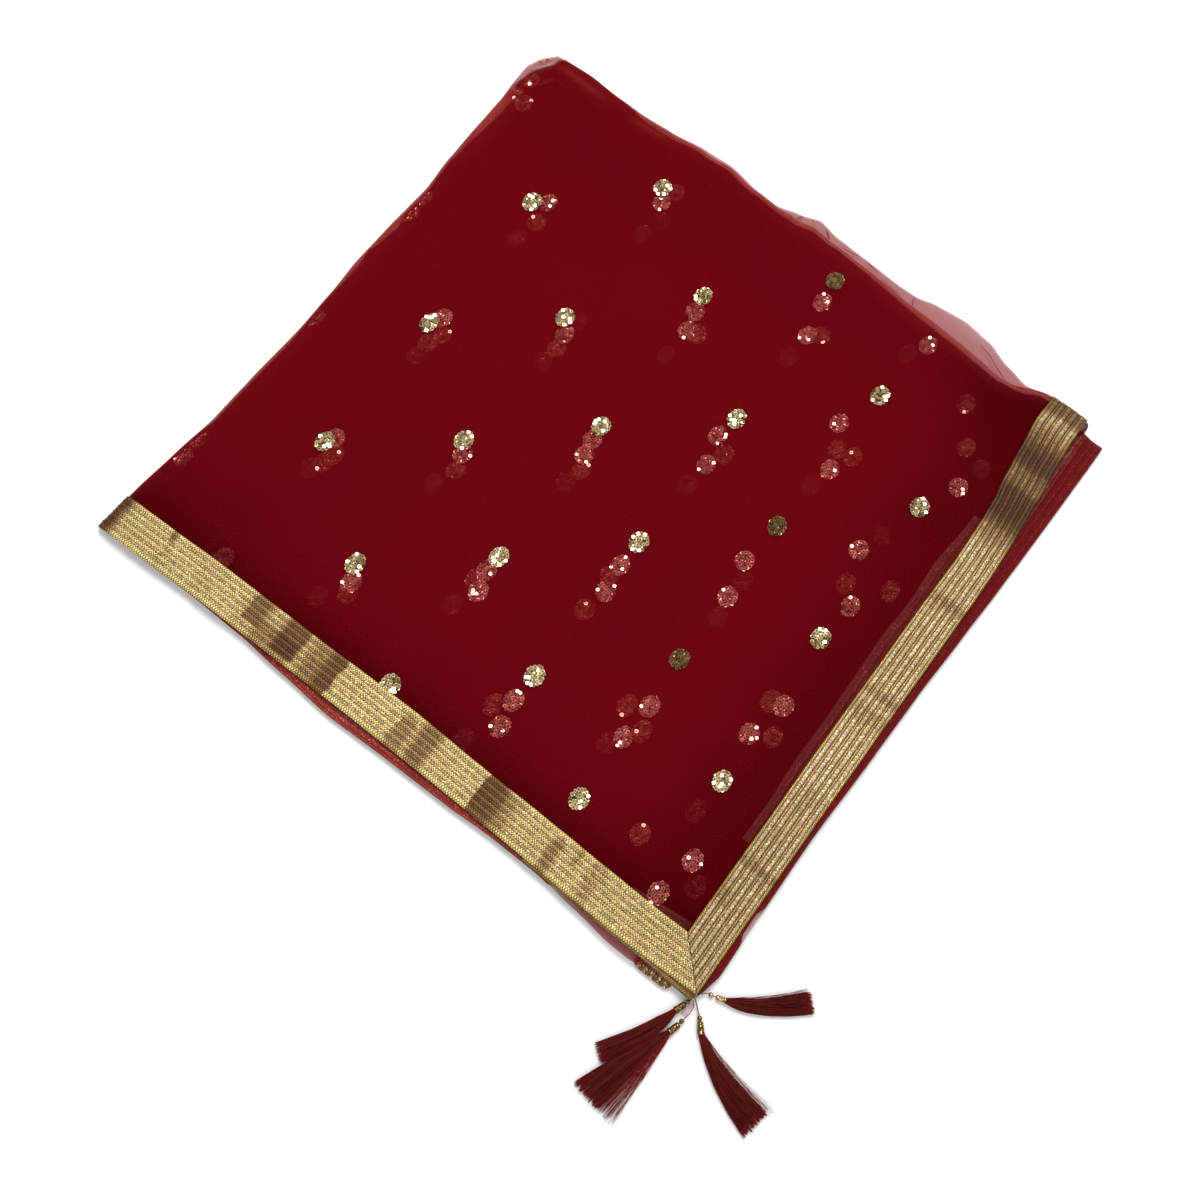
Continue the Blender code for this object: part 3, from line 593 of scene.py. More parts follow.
# The fold at +Y
FAR_FOLD: Table = (
    # x, outline_y, layers_y, roll_height, roll_width
    (-286, 268.6, 258.6, 2.6, 2.2), (-281, 274.9, 264.1, 2.6, 2.2), (-275, 282.7, 268, 2.6, 2.2),
    (-267, 284.1, 269.9, 2.8, 2.2), (-240, 285.3, 271.9, 3.2, 2.4), (-210, 282.9, 275.9, 3.6, 2.6),
    (-180, 282.3, 273.9, 3.4, 2.4), (-150, 284.3, 274.9, 3, 2.4), (-120, 288.9, 278.9, 2.8, 2.2),
    (-90, 290.1, 280.9, 2.8, 2.2), (-60, 284.7, 276.9, 3, 2.4), (-38, 283.5, 275.4, 3, 2.4),
    (-18, 289.4, 274.9, 2.6, 2.2), (0, 295.5, 277.9, 2.6, 2.2), (20, 291.3, 278.9, 2.6, 2.2),
    (50, 289.5, 277.9, 2.6, 2.2), (85, 287.1, 275.4, 2.6, 2.2), (104, 287.3, 273.9, 2.6, 2.2),
    (122, 291.9, 272.9, 2.6, 2.2), (150, 294.7, 271.4, 2.6, 2.2), (176, 291, 269.5, 2.6, 2.2),
    (200, 282, 266, 2.8, 2.4), (221, 276.6, 262.5, 4, 3), (240, 279.2, 271.8, 9, 4.4),
    (260, 279.9, 274.2, 11, 4.8), (279, 278.9, 274, 10.5, 4.6),
)

# How far inside the outline of the fold at -X the second layer shows, and where it is
# too deep to see through
LEFT_LINES: Table = (
    # y, second_inset, deep_inset
    (-281, 0.3, 1), (-176, 0.3, 1), (-160, 0.3, 3.2), (-75, 0.3, 3.4), (-55, 0.3, 2),
    (-20, 0.3, 1.8), (0, 0.4, 4), (15, 0.4, 5), (30, 0.3, 2.2), (45, 0.4, 5.6), (62, 0.5, 8),
    (78, 0.4, 3.4), (120, 0.4, 3), (140, 0.4, 3.4), (160, 0.5, 5), (180, 0.5, 8), (200, 0.5, 10.6),
    (222, 0.6, 11.2), (232, 1.6, 5), (243, 3.4, 4.6), (256, 6, 8.4), (267, 5.4, 8),
)

# The same for the fold at +Y
FAR_LINES: Table = (
    # x, second_inset, deep_inset
    (-281, 3.4, 5.4), (-276, 2, 3.4), (-268, 0.3, 1.4), (-200, 0.3, 1.2), (-186, 0.5, 3.2),
    (-168, 0.6, 6.8), (-148, 0.9, 7.4), (-128, 1.6, 6.4), (-108, 3.4, 7.4), (-92, 2.2, 6.6),
    (-74, 2.6, 7.4), (-55, 0.9, 5.8), (-40, 1.3, 6.6), (-26, 4.2, 11.2), (-15, 8.2, 15.2),
    (0, 10.8, 16.4), (12, 9.8, 14.6), (27, 8.3, 12.4), (50, 8.5, 13.4), (75, 8.6, 14.6),
    (104, 12.4, 17.8), (122, 18.2, 24), (150, 23.4, 28.8), (176, 22.6, 27.8), (200, 16.8, 20.8),
    (212, 10.6, 15), (221, 3.2, 10.6), (232, 0.8, 6.4), (240, 0.4, 6.4), (279, 0.4, 3),
)

# The laced end at +X
END_LACE: Table = (
    # y, inner_x, outer_x, second_layer_x
    (-282, 252.4, 283, 284), (-271, 252.5, 283.2, 287.2), (-258, 252.6, 283.2, 289.8),
    (-220, 252.5, 283.2, 288.8), (-140, 252.8, 283.4, 288), (-60, 252.9, 283.9, 290.7),
    (0, 253.5, 284.5, 292), (60, 253.9, 285.3, 294.8), (110, 254.9, 285.4, 297.1),
    (150, 253.6, 283.9, 298.5), (170, 252.2, 282.6, 299.1), (190, 248.7, 281.2, 299.6),
    (222, 245.5, 278.6, 300.3), (250, 242.4, 276.4, 300.9), (279, 243.4, 277.4, 301.2),
)

# The laced side at -Y
SIDE_LACE: Table = (
    # x, inner_y, outer_y, second_layer_y
    (-281, -248.6, -280.2, -279.4), (-240, -247.6, -279.2, -279), (-190, -245.9, -277.4, -277.6),
    (-140, -245.3, -276.8, -278.5), (-100, -245.2, -276.4, -281.5), (-50, -244.2, -276.2, -284.9),
    (0, -243.6, -276.2, -283.5), (60, -245.3, -276.8, -282.8), (100, -245.8, -277.7, -281),
    (140, -246.4, -278.7, -281.2), (180, -247.4, -280.1, -284.9), (214, -248, -280.6, -288.6),
    (232, -248.2, -280.5, -288.7), (246, -247.9, -280, -283.6), (283, -247.4, -278.6, -282.2),
)

# Soft raised folds of the top layer
SOFT_FOLDS: Table = (
    # x, y, heading_deg, length, width, rise
    (-238, -262, 80, 60, 13, 1.3), (-176, -258, 96, 66, 15, 1.6), (-112, -262, 86, 70, 13, 1.9),
    (-40, -262, 97, 62, 16, 1.5), (28, -260, 88, 60, 15, 1.6), (112, -262, 93, 66, 16, 1.4),
    (186, -262, 84, 52, 14, 1.2), (266, 246, 4, 46, 14, 2.6), (266, 196, -6, 50, 13, 1.7),
    (264, 138, 5, 56, 14, 1.4), (266, 84, -3, 60, 14, 1.2), (264, 10, 6, 58, 15, 1.3),
    (266, -66, -4, 62, 14, 1.2), (266, -150, 3, 60, 15, 1), (-150, 60, 78, 300, 20, 1),
    (-20, 90, 98, 260, 22, 1.1), (150, 40, 84, 240, 20, 0.9), (60, -120, 60, 170, 20, 0.8),
    (-200, 230, 10, 110, 15, 1.1), (60, 244, -6, 150, 14, 1.2),
)

# Fine creases of the top layer, between the soft folds
FINE_CREASES: Table = (
    # x, y, heading_deg, length, width, rise
    (-236, 120, 84, 90, 4, 0.3), (-196, -40, 95, 120, 5, -0.32), (-170, -196, 76, 70, 4, 0.34),
    (-104, -120, 88, 110, 5, 0.36), (-92, 150, 70, 80, 4.5, -0.28), (-44, -30, 103, 95, 5, 0.3),
    (8, 190, 81, 70, 4, 0.34), (22, -186, 84, 62, 4.5, 0.34), (76, 60, 98, 130, 5, -0.34),
    (118, -150, 74, 84, 4, 0.32), (156, 190, 60, 70, 5, 0.3), (190, -60, 92, 110, 4.5, 0.3),
    (222, 96, 86, 90, 4, -0.3), (228, -190, 88, 60, 4, 0.28), (-250, 236, 38, 40, 4, 0.34),
    (-130, 256, 8, 60, 3.6, 0.36), (-60, 262, -6, 46, 3.4, 0.3), (24, 263, 5, 52, 3.4, 0.34),
    (130, 256, -9, 60, 3.6, 0.34), (206, 246, -24, 38, 4, 0.4), (-262, -80, 88, 60, 3.4, 0.3),
    (-262, 40, 92, 64, 3.4, 0.3), (-262, -210, 82, 40, 3.4, 0.34),
)

# Waves of the lace across its bands, where it lifts from the cloth
LACE_WAVES: Table = (
    # x, y, heading_deg, length, width, rise
    (-258, -264, 84, 40, 8, 0.5), (-208, -262, 94, 40, 7, 0.6), (-150, -263, 82, 40, 7, 0.6),
    (-82, -262, 98, 40, 8, 0.7), (-6, -262, 86, 40, 9, 0.5), (62, -262, 92, 40, 7, 0.6),
    (148, -263, 96, 40, 9, 0.5), (220, -264, 86, 40, 8, 0.4), (264, 222, 8, 40, 5, 0.8),
    (267, 170, -5, 40, 7, 0.5), (268, 108, 6, 40, 9, 0.5), (268, 46, -4, 40, 8, 0.5),
    (267, -32, 5, 40, 8, 0.5), (267, -108, -6, 40, 9, 0.4), (267, -190, 4, 40, 9, 0.4),
)

# Lighter patches of the top layer along the folds, where fewer layers lie under it; there it takes
# the painted paler colour that stands for the floor's light
PALE_PATCHES: Table = (
    # x, y, heading_deg, length, width, share
    (-240, 271.4, -3, 42, 5.6, 0.75), (-167, 270, 2, 28, 4.6, 0.55),
    (-278.5, 205, 86, 32, 3, 0.35), (-276, 60, 90, 22, 2.2, 0.3), (232, 268, 52, 14, 2, 0.25),
)

# Pinched pleats across the rolled fold
PLEAT_LINES: Table = (
    # start_x, start_y, end_x, end_y, width
    (-14.2, 290.6, -18, 282, 1.2), (7, 291.8, 16.4, 283.2, 1.3), (-6.2, 293.6, -3.6, 288, 0.7),
    (27, 284.2, 48, 288.4, 0.8), (48, 288.4, 68, 284.6, 0.8), (66, 282.6, 96, 276.4, 0.8),
    (104.4, 286.8, 103.4, 281, 0.9), (103.4, 281, 105.6, 274.4, 0.9),
    (170, 282.8, 189, 275.6, 0.9), (186, 276.8, 205, 265.8, 1.3), (210, 266, 226, 273.6, 1.3),
    (224, 272.6, 243, 280.4, 1.4), (-288.6, 266.6, -274, 265.4, 1.2),
    (-281.6, 281, -276.6, 268, 1), (-192, 283.4, -184, 275.6, 0.8),
)

# Painted shade: dark patches of the lace along the side, where it turns from the light
SIDE_SHADE_PATCHES: Table = (
    # start, stop, into, out of, depth, low, high
    (-300, -264, 1, 12, 0.74, -4, 36), (-233, -224, 3, 4, 0.55, -4, 11),
    (-231, -221, 5, 6, 0.22, 7, 34), (-160, -95, 9, 4, 0.15, -4, 36),
    (-149.5, -128, 1.2, 10, 0.5, -4, 24), (-141, -95, 10, 8, 0.33, 13, 36),
    (-121, -94, 7, 5, 0.6, -4, 30), (-99, -61.6, 14, 1.6, 0.47, -4, 36),
    (-80, -61.6, 8, 1.6, 0.38, -4, 36), (-8, 10, 4, 5, 0.44, 3, 36), (7, 33, 9, 8, 0.52, -4, 34),
    (71.3, 98, 0.9, 13, 0.68, -4, 36), (86, 110, 5, 12, 0.34, 0, 36),
    (135, 149, 4, 5, 0.44, 3, 36), (155, 163, 3, 3, 0.34, -4, 17), (168, 186, 5, 6, 0.26, -4, 36),
)

# The same painted shade for the lace along the end
END_SHADE_PATCHES: Table = (
    # start, stop, into, out of, depth, low, high
    (-223, -203, 6, 6, 0.22, -4, 15), (-187, -177, 3, 4, 0.3, -4, 36),
    (-47, -30, 6, 6, 0.2, -4, 36), (-25, -15, 3, 4, 0.3, -4, 36), (58, 82, 10, 6, 0.12, -4, 36),
    (67, 78, 3, 4, 0.2, -4, 36), (128, 162, 14, 10, 0.34, -4, 36),
    (144, 262, 14, 26, 0.52, -4, 36), (154, 194, 10, 10, 0.54, -4, 36),
    (203, 227, 12, 2.5, 0.55, -4, 36), (225, 238, 2, 10, 0.35, -4, 36),
    (257, 320, 9, 1, 0.52, -4, 36),
)


class Depth(Enum):
    """The layer that a flower is sewn to.

    Its values are its height, its least distance below the top, how thick its flowers
    are and how light they look, which is painted light and shade in their sequins' tone.
    """

    TOP = (9, 0, 1, 0.62)
    SECOND = (7.74, 0.95, 0.9, 0.55)
    THIRD = (7.04, 1.35, 0.5, 0.55)
    DEEP = (6.55, 1.6, 0.4, 0.55)


# Each flower's place, and how light it looks where that isn't its layer's value: painted light and
# shade
FLOWERS: dict[Depth, Table] = {
    Depth.TOP: (
        (-122, 229.5), (42.5, 250, 0.05), (-199, 149), (-35, 168.5), (130, 187.5), (-112, 81.5),
        (50, 97), (208.5, 127), (-194.5, 8.5), (-31, 23.5), (128, 42.5, 0.2), (-108.5, -53.5),
        (50.5, -35.5), (206.5, -10.5), (-192, -122), (-27, -112), (130.5, -91, 0.3), (210, -145.5),
        (-109, -183.5), (52, -168.5), (-28, -239.5), (134, -220.5),
    ),
    Depth.SECOND: (
        (-115, 219), (-189, 157.5), (-32.5, 154), (-27.5, 136), (45, 228.5), (52.5, 195),
        (117.5, 147), (134, 109), (190, 67.5), (210.5, 25), (136.5, 251.5), (224, 161.5),
        (-103.5, 70), (46.5, 76.5), (53.5, 50), (-189.5, 19), (-30, 11), (-27, -3.5), (124, 4),
        (130.5, -27.5), (214, -71), (205.5, -104.5), (50, -59), (54, -82.5), (-102.5, -62.5),
        (-188.5, -115), (134, -133.5), (132.5, -164), (-28, -126), (-22.5, -142.5), (226.5, -205),
        (220, -239), (51, -192.5), (55, -214), (-102.5, -196.5),
    ),
    Depth.THIRD: (
        (-111.5, 235), (-185, 137.5), (-19, 138.5), (61, 202.5), (142.5, 130), (129, 127.5),
        (197.5, 38.5), (228.5, 55), (190, 227.5), (211, 195), (-101, 56), (59.5, 66.5),
        (-180, 7.5), (-185, -5), (-21.5, -15), (204, -74), (221, -95.5), (48.5, -70), (50, -104),
        (-98.5, -76), (-180, -126), (-182, -135), (120, -143.5), (140.5, -152.5), (-31, -136),
        (184.5, -213.5), (41, -204), (-99, -205), (-275.5, 244.5), (-265, 222), (-278, 224.5),
        (-273, 96), (-272, 77.5), (-270, -44), (-271.5, -181), (-269.5, -199), (-190, -241.5),
    ),
    Depth.DEEP: (
        (-105, 205), (-110, 185), (-188.5, 115), (-28.5, 107.5), (51, 169), (130, 88.5), (199, 90),
        (127.5, 235), (231, 187.5), (-102.5, 86.5), (-102.5, 40), (52.5, 27.5), (-185, -20),
        (-25, -30), (132.5, -10), (134, -45), (-105, -96), (-187.5, -146), (125, -175),
        (-31, -162.5), (239, -219), (207.5, -175), (40, -237.5), (-115, -220),
    ),
}


def ease(t: Array | float) -> Array:
    """Smooth step from 0 to 1."""
    t = np.clip(t, 0, 1)
    return t * t * (3 - 2 * t)


def step(value: Array | float, start: float, stop: float) -> Array:
    """Smooth step from 0 at a start to 1 at a stop, which may be the lesser."""
    return ease((value - start) / (stop - start))


def mixed(a: Array | float, b: Array | float, t: Array | float) -> Array:
    """Value between two."""
    return a + (b - a) * t


def hump(t: Array | float) -> Array:
    """Bell of height 1 that falls off over a distance of 1."""
    return np.exp(-np.square(t))


def read(table: Table, key: Array | float, column: int) -> Array:
    """Read a table smoothly.

    Args:
        table: Rows in the order of their first column.
        key: Places along the first column.
        column: The column to read.

    Returns:
        The column's values at those places.
    """
    rows = np.asarray(table, dtype=float)
    keys = rows[:, 0]
    key = np.clip(np.asarray(key, dtype=float), keys[0], keys[-1])
    low = np.clip(np.searchsorted(keys, key, side="right") - 1, 0, len(keys) - 2)
    t = (key - keys[low]) / (keys[low + 1] - keys[low])
    return mixed(rows[low, column], rows[low + 1, column], 0.5 * t + 0.5 * ease(t))


def ridges(table: Table, x: Array, y: Array) -> Array:
    """Sum of the soft ridges that a table lists.

    Args:
        table: Rows of place, heading, half length, width and rise.
        x: Plan places along X.
        y: Plan places along Y.

    Returns:
        The rise at each place.
    """
    rise = np.zeros(np.broadcast(x, y).shape)
    for centre_x, centre_y, heading, length, width, height in table:
        cos, sin = math.cos(math.radians(heading)), math.sin(math.radians(heading))
        along = (x - centre_x) * cos + (y - centre_y) * sin
        across = (y - centre_y) * cos - (x - centre_x) * sin
        near = (np.abs(along) < length) & (np.abs(across) < 3 * width)
        fade = ease(1.4 - 1.4 * np.abs(along) / length)
        rise += np.where(near, height * hump(across / width) * fade, 0)
    return rise


def drift(x: Array, y: Array, size: float, seed: float) -> Array:
    """Gentle wandering value from -1 to 1, the same each run.

    Args:
        x: Places along X.
        y: Places along Y.
        size: Spacing of its humps.
        seed: Which drift it is.

    Returns:
        The value at each place.
    """
    total = np.zeros(np.broadcast(x, y).shape)
    for order in range(1, 5):
        turn = seed * 1.7 + order * 2.399
        wave = (x * math.cos(turn) + y * math.sin(turn)) * math.tau / size
        total += np.sin(wave * (0.7 + 0.23 * order) + seed * 5.1 * order) / 4
    return total


def matched(x: Array | float, y: Array | float) -> list[Array]:
    """Two arrays of one shape."""
    return np.broadcast_arrays(np.asarray(x, float), np.asarray(y, float))


def stacked(*parts: Array) -> Array:
    """Points or places from their coordinates."""
    return np.stack(np.broadcast_arrays(*parts), axis=-1)


@dataclass(frozen=True)
class ClothForm:
    """Shape of the folded stole: its top layer, and the faces of the layers under it."""

    top_face: float = 9.0
    roll_edge: float = 0.85
    least_reach: float = 8.0
    end_droop: float = 3.0
    side_droop: float = 2.0

    def start_x(self, y: Array | float) -> Array:
        """Where the fold at -X begins to roll down."""
        return read(LEFT_FOLD, y, 1) + read(LEFT_FOLD, y, 4)

    def start_y(self, x: Array | float) -> Array:
        """Where the fold at +Y begins to roll down."""
        return read(FAR_FOLD, x, 1) - read(FAR_FOLD, x, 4)

    def arc(self, width: Array, height: Array) -> Array:
        """Length of cloth in the quarter ellipse of a fold's roll."""
        return QUARTER * np.sqrt((width * width + (height - self.roll_edge) ** 2) / 2)

    def turned(self, past: Array, width: Array, height: Array) -> Array:
        """Angle that a roll has turned through at a length past its start."""
        return np.clip(np.maximum(0, past) / self.arc(width, height), 0, 1) * QUARTER

    def point(self, x: Array, y: Array) -> Array:
        """Points of the top layer's outer face.

        Args:
            x: Plan places along X, or lengths along the cloth past the roll's start.
            y: The same along Y.

        Returns:
            Points, in millimetres, with a last axis of three.
        """
        x, y = matched(x, y)
        start_y = self.start_y(x)
        plan_y = np.minimum(y, start_y)
        start_x = self.start_x(plan_y)
        plan_x = np.maximum(x, start_x)
        height = self.top_face + ridges(SOFT_FOLDS, plan_x, plan_y)
        reach = np.maximum(0, read(LEFT_FOLD, plan_y, 2) - start_x) + self.least_reach
        near = ease((plan_x - start_x) / reach)
        height = mixed(np.minimum(read(LEFT_FOLD, plan_y, 3), height), height, near)
        reach = np.maximum(0, start_y - read(FAR_FOLD, plan_x, 2)) + self.least_reach
        near = ease((start_y - plan_y) / reach)
        height = mixed(np.minimum(read(FAR_FOLD, plan_x, 3), height), height, near)
        left_width, far_width = read(LEFT_FOLD, plan_y, 4), read(FAR_FOLD, plan_x, 4)
        left = self.turned(start_x - x, left_width, height)
        far = self.turned(y - start_y, far_width, height)
        return stacked(
            plan_x - left_width * np.sin(left), plan_y + far_width * np.sin(far),
            self.roll_edge + (height - self.roll_edge) * np.cos(left) * np.cos(far))

    def normal(self, x: Array, y: Array, reach: float = 0.4) -> Array:
        """Unit normals of the top layer's outer face.

        Args:
            x: Cloth places along X.
            y: Cloth places along Y.
            reach: Half of the distance that the slope is taken over.

        Returns:
            The normals.
        """
        along_x = self.point(x + reach, y) - self.point(x - reach, y)
        along_y = self.point(x, y + reach) - self.point(x, y - reach)
        normal = np.cross(along_x, along_y)
        length = np.linalg.norm(normal, axis=-1, keepdims=True)
        return np.where(length > TINY, normal / np.maximum(length, TINY), UP)

    def face(self, x: Array, y: Array, lift: Array | float) -> Array:
        """Points moved out from the top layer's outer face.

        Args:
            x: Cloth places along X.
            y: Cloth places along Y.
            lift: Distance out along the face's normal.

        Returns:
            Points, in millimetres.
        """
        x, y = matched(x, y)
        lift = np.broadcast_to(np.asarray(lift, float), x.shape)
        return self.point(x, y) + self.normal(x, y) * lift[..., None]

    def left_arc_at(self, y: Array | float) -> Array:
        """Length of the roll at -X, at a place along Y."""
        height = self.point(self.start_x(y), y)[..., 2]
        return self.arc(read(LEFT_FOLD, y, 4), np.maximum(height, 1.5))

    def far_arc_at(self, x: Array | float) -> Array:
        """Length of the roll at +Y, at a place along X."""
        height = self.point(x, self.start_y(x))[..., 2]
        return self.arc(read(FAR_FOLD, x, 4), np.maximum(height, 1.5))

    def droop(self, x: Array, y: Array) -> Array:
        """How far the lower layers hang where they show past the top layer's edge.

        Args:
            x: Plan places along X.
            y: Plan places along Y.

        Returns:
            The drop at each place.
        """
        past_end = step(x - read(END_LACE, y, 2), 0.5, 16.5)
        past_side = step(read(SIDE_LACE, x, 2) - y, 1, 13)
        return self.end_droop * past_end + self.side_droop * past_side

    def under(self, x: Array, y: Array, level: float, clear: float) -> Array:
        """Points of a layer under the top one.

        Args:
            x: Plan places along X.
            y: Plan places along Y.
            level: The layer's height on the flat of the stack.
            clear: Least distance that it keeps below the top layer.

        Returns:
            Points, in millimetres.
        """
        x, y = matched(x, y)
        roof = self.point(x, y)[..., 2] - clear
        inside = (x < read(END_LACE, y, 2) + 4) & (y > read(SIDE_LACE, x, 2) - 4)
        height = level - self.droop(x, y)
        height = np.where(inside, np.minimum(height, roof), height)
        return stacked(x, y, np.maximum(height, 0.5))


# ----------------------------------------------------- making meshes


def grid_faces(rows: int, columns: int, closed: bool = False) -> Array:
    """Quads of a grid of points, row by row.

    Args:
        rows: Count of rows.
        columns: Count of points in a row.
        closed: Whether a row's last point joins its first.

    Returns:
        Rows of four point numbers.
    """
    reach = columns if closed else columns - 1
    row, column = np.meshgrid(np.arange(rows - 1), np.arange(reach), indexing="ij")
    after = (column + 1) % columns
    low, high = row * columns, (row + 1) * columns
    return stacked(low + column, low + after, high + after, high + column).reshape(-1, 4)


def dressed(item: Piece, node: str = "") -> Piece:
    """Put a finished piece on the body.

    Args:
        item: The piece.
        node: Name of the solid that it stands for, if any.

    Returns:
        The piece.
    """
    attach(item, BODY)
    if node:
        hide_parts(node)
    triangles = sum(len(face.vertices) - 2 for face in item.data.polygons)
    LOG.info("%s: %d triangles", item.name, triangles)
    return item


@dataclass
class MeshSet:
    """Points, faces and stored numbers of one mesh, gathered from parts."""

    points: list[Array] = field(default_factory=list)
    faces: list[Array] = field(default_factory=list)
    uvs: list[Array] = field(default_factory=list)
    numbers: dict[str, list[Array]] = field(default_factory=dict)
    total: int = 0

    def add(self, points: Array, faces: Sequence[Array], uv: Array,
            **numbers: Array | float) -> None:
        """Add one part.

        Args:
            points: Points in millimetres.
            faces: Sets of faces as rows of point numbers within the part.
            uv: Places on the cloth in millimetres.
            numbers: Values to store on the points.
        """
        self.points.append(np.reshape(points, (-1, 3)))
        count = len(self.points[-1])
        self.faces += [rows + self.total for rows in faces]
        self.uvs.append(np.reshape(uv, (-1, 2)))
        for key, value in numbers.items():
            flat = np.full(count, float(value)) if np.ndim(value) == 0 else np.ravel(value)
            self.numbers.setdefault(key, []).append(flat)
        self.total += count

    def add_grid(self, points: Array, uv: Array, turned: bool = False,
                 **numbers: Array | float) -> None:
        """Add an open sheet, given as a grid of points."""
        quads = grid_faces(*points.shape[:2])
        self.add(points, [quads[:, ::-1] if turned else quads], uv, **numbers)

    def add_shell(self, rings: Array, uv: Array, turned: bool = False,
                  **numbers: Array | float) -> None:
        """Add a closed shell of rings, with a face at each end.

        Args:
            rings: Points in millimetres, one ring a row.
            uv: Places on the cloth in millimetres.
            turned: Whether the faces run the other way round.
            numbers: Values to store on the points.
        """
        count, size = rings.shape[:2]
        cap = np.arange(size)[None, :]
        faces = [grid_faces(count, size, closed=True), cap[:, ::-1], cap + (count - 1) * size]
        self.add(rings, [rows[:, ::-1] for rows in faces] if turned else faces, uv, **numbers)

    def piece(self, name: str, finish: Finish, slot: Slot, node: str = "",
              sharp: float = 60.0) -> Piece:
        """Make the piece, at the origin, and put it on the body.

        Args:
            name: The piece's name.
            finish: What it is made of.
            slot: The record's slot that its finish is from; not used.
            node: Name of the solid that it stands for, if any.
            sharp: Angle in degrees past which an edge stays sharp.

        Returns:
            The finished piece.
        """
        mesh = bpy.data.meshes.new(name)
        faces = [face for part in self.faces for face in part.tolist()]
        mesh.from_pydata((np.concatenate(self.points) * MM).tolist(), [], faces)
        corner = np.empty(len(mesh.loops), dtype=np.int32)
        mesh.loops.foreach_get("vertex_index", corner)
        layer = mesh.uv_layers.new(name="cloth")
        layer.data.foreach_set("uv", (np.concatenate(self.uvs) * MM)[corner].ravel())
        for key, values in self.numbers.items():
            stored = mesh.attributes.new(key, "FLOAT", "POINT")
            stored.data.foreach_set("value", np.concatenate(values).astype(np.float32))
        mesh.shade_smooth()
        mesh.set_sharp_from_angle(angle=math.radians(sharp))
        mesh.materials.append(finish.material())
        item = bpy.data.objects.new(name, mesh)
        bpy.context.scene.collection.objects.link(item)
        return dressed(item, node)


def nothing_selected() -> None:
    """Leave edit mode and deselect everything."""
    if bpy.context.object and bpy.context.object.mode != "OBJECT":
        bpy.ops.object.mode_set(mode="OBJECT")
    bpy.ops.object.select_all(action="DESELECT")


# -------------------------------------------------- sheer net layers

FORM = ClothForm()
STACK_INSET = 8.5
STACK_FAR_Y = 261


def cloth_tone(x: Array, y: Array) -> Array:
    """How light the net looks over the stack.

    Args:
        x: Plan places along X.
        y: Plan places along Y.

    Returns:
        A gain near 1: less beside the laced edges, where laces lie under the net.
    """
    tone = 1 - 0.3 * step(x, 150, 250)
    tone = tone * (1 - 0.08 * step(y, -170, -220) - 0.3 * step(y, -218, -246))
    tone = tone * (1 - 0.24 * step(x, 120, 220) * step(y, 200, 250))
    tone = tone * (1 - 0.12 * step(x, -120, -260) * step(y, -120, -250))
    tone = tone * (1 - 0.1 * step(y, 150, 220))
    return tone + 0.04 * drift(x, y, 240, 1) + 0.02 * drift(x, y, 90, 2)


def past_line(x: Array, y: Array, column: int) -> Array:
    """Distance past a line at the folds.

    Args:
        x: Plan places along X.
        y: Plan places along Y.
        column: 1 for where the second layer shows, 2 for where it is too deep to see through.

    Returns:
        The distance, which is negative inside the line.
    """
    left = read(LEFT_FOLD, y, 1) + read(LEFT_LINES, y, column) - x
    far = y - read(FAR_FOLD, x, 1) + read(FAR_LINES, x, column)
    return np.maximum(left, far)


def stack_far_y(x: Array) -> Array:
    """Far edge of the deep layers."""
    return np.minimum(read(FAR_FOLD, x, 2) - STACK_INSET, STACK_FAR_Y)


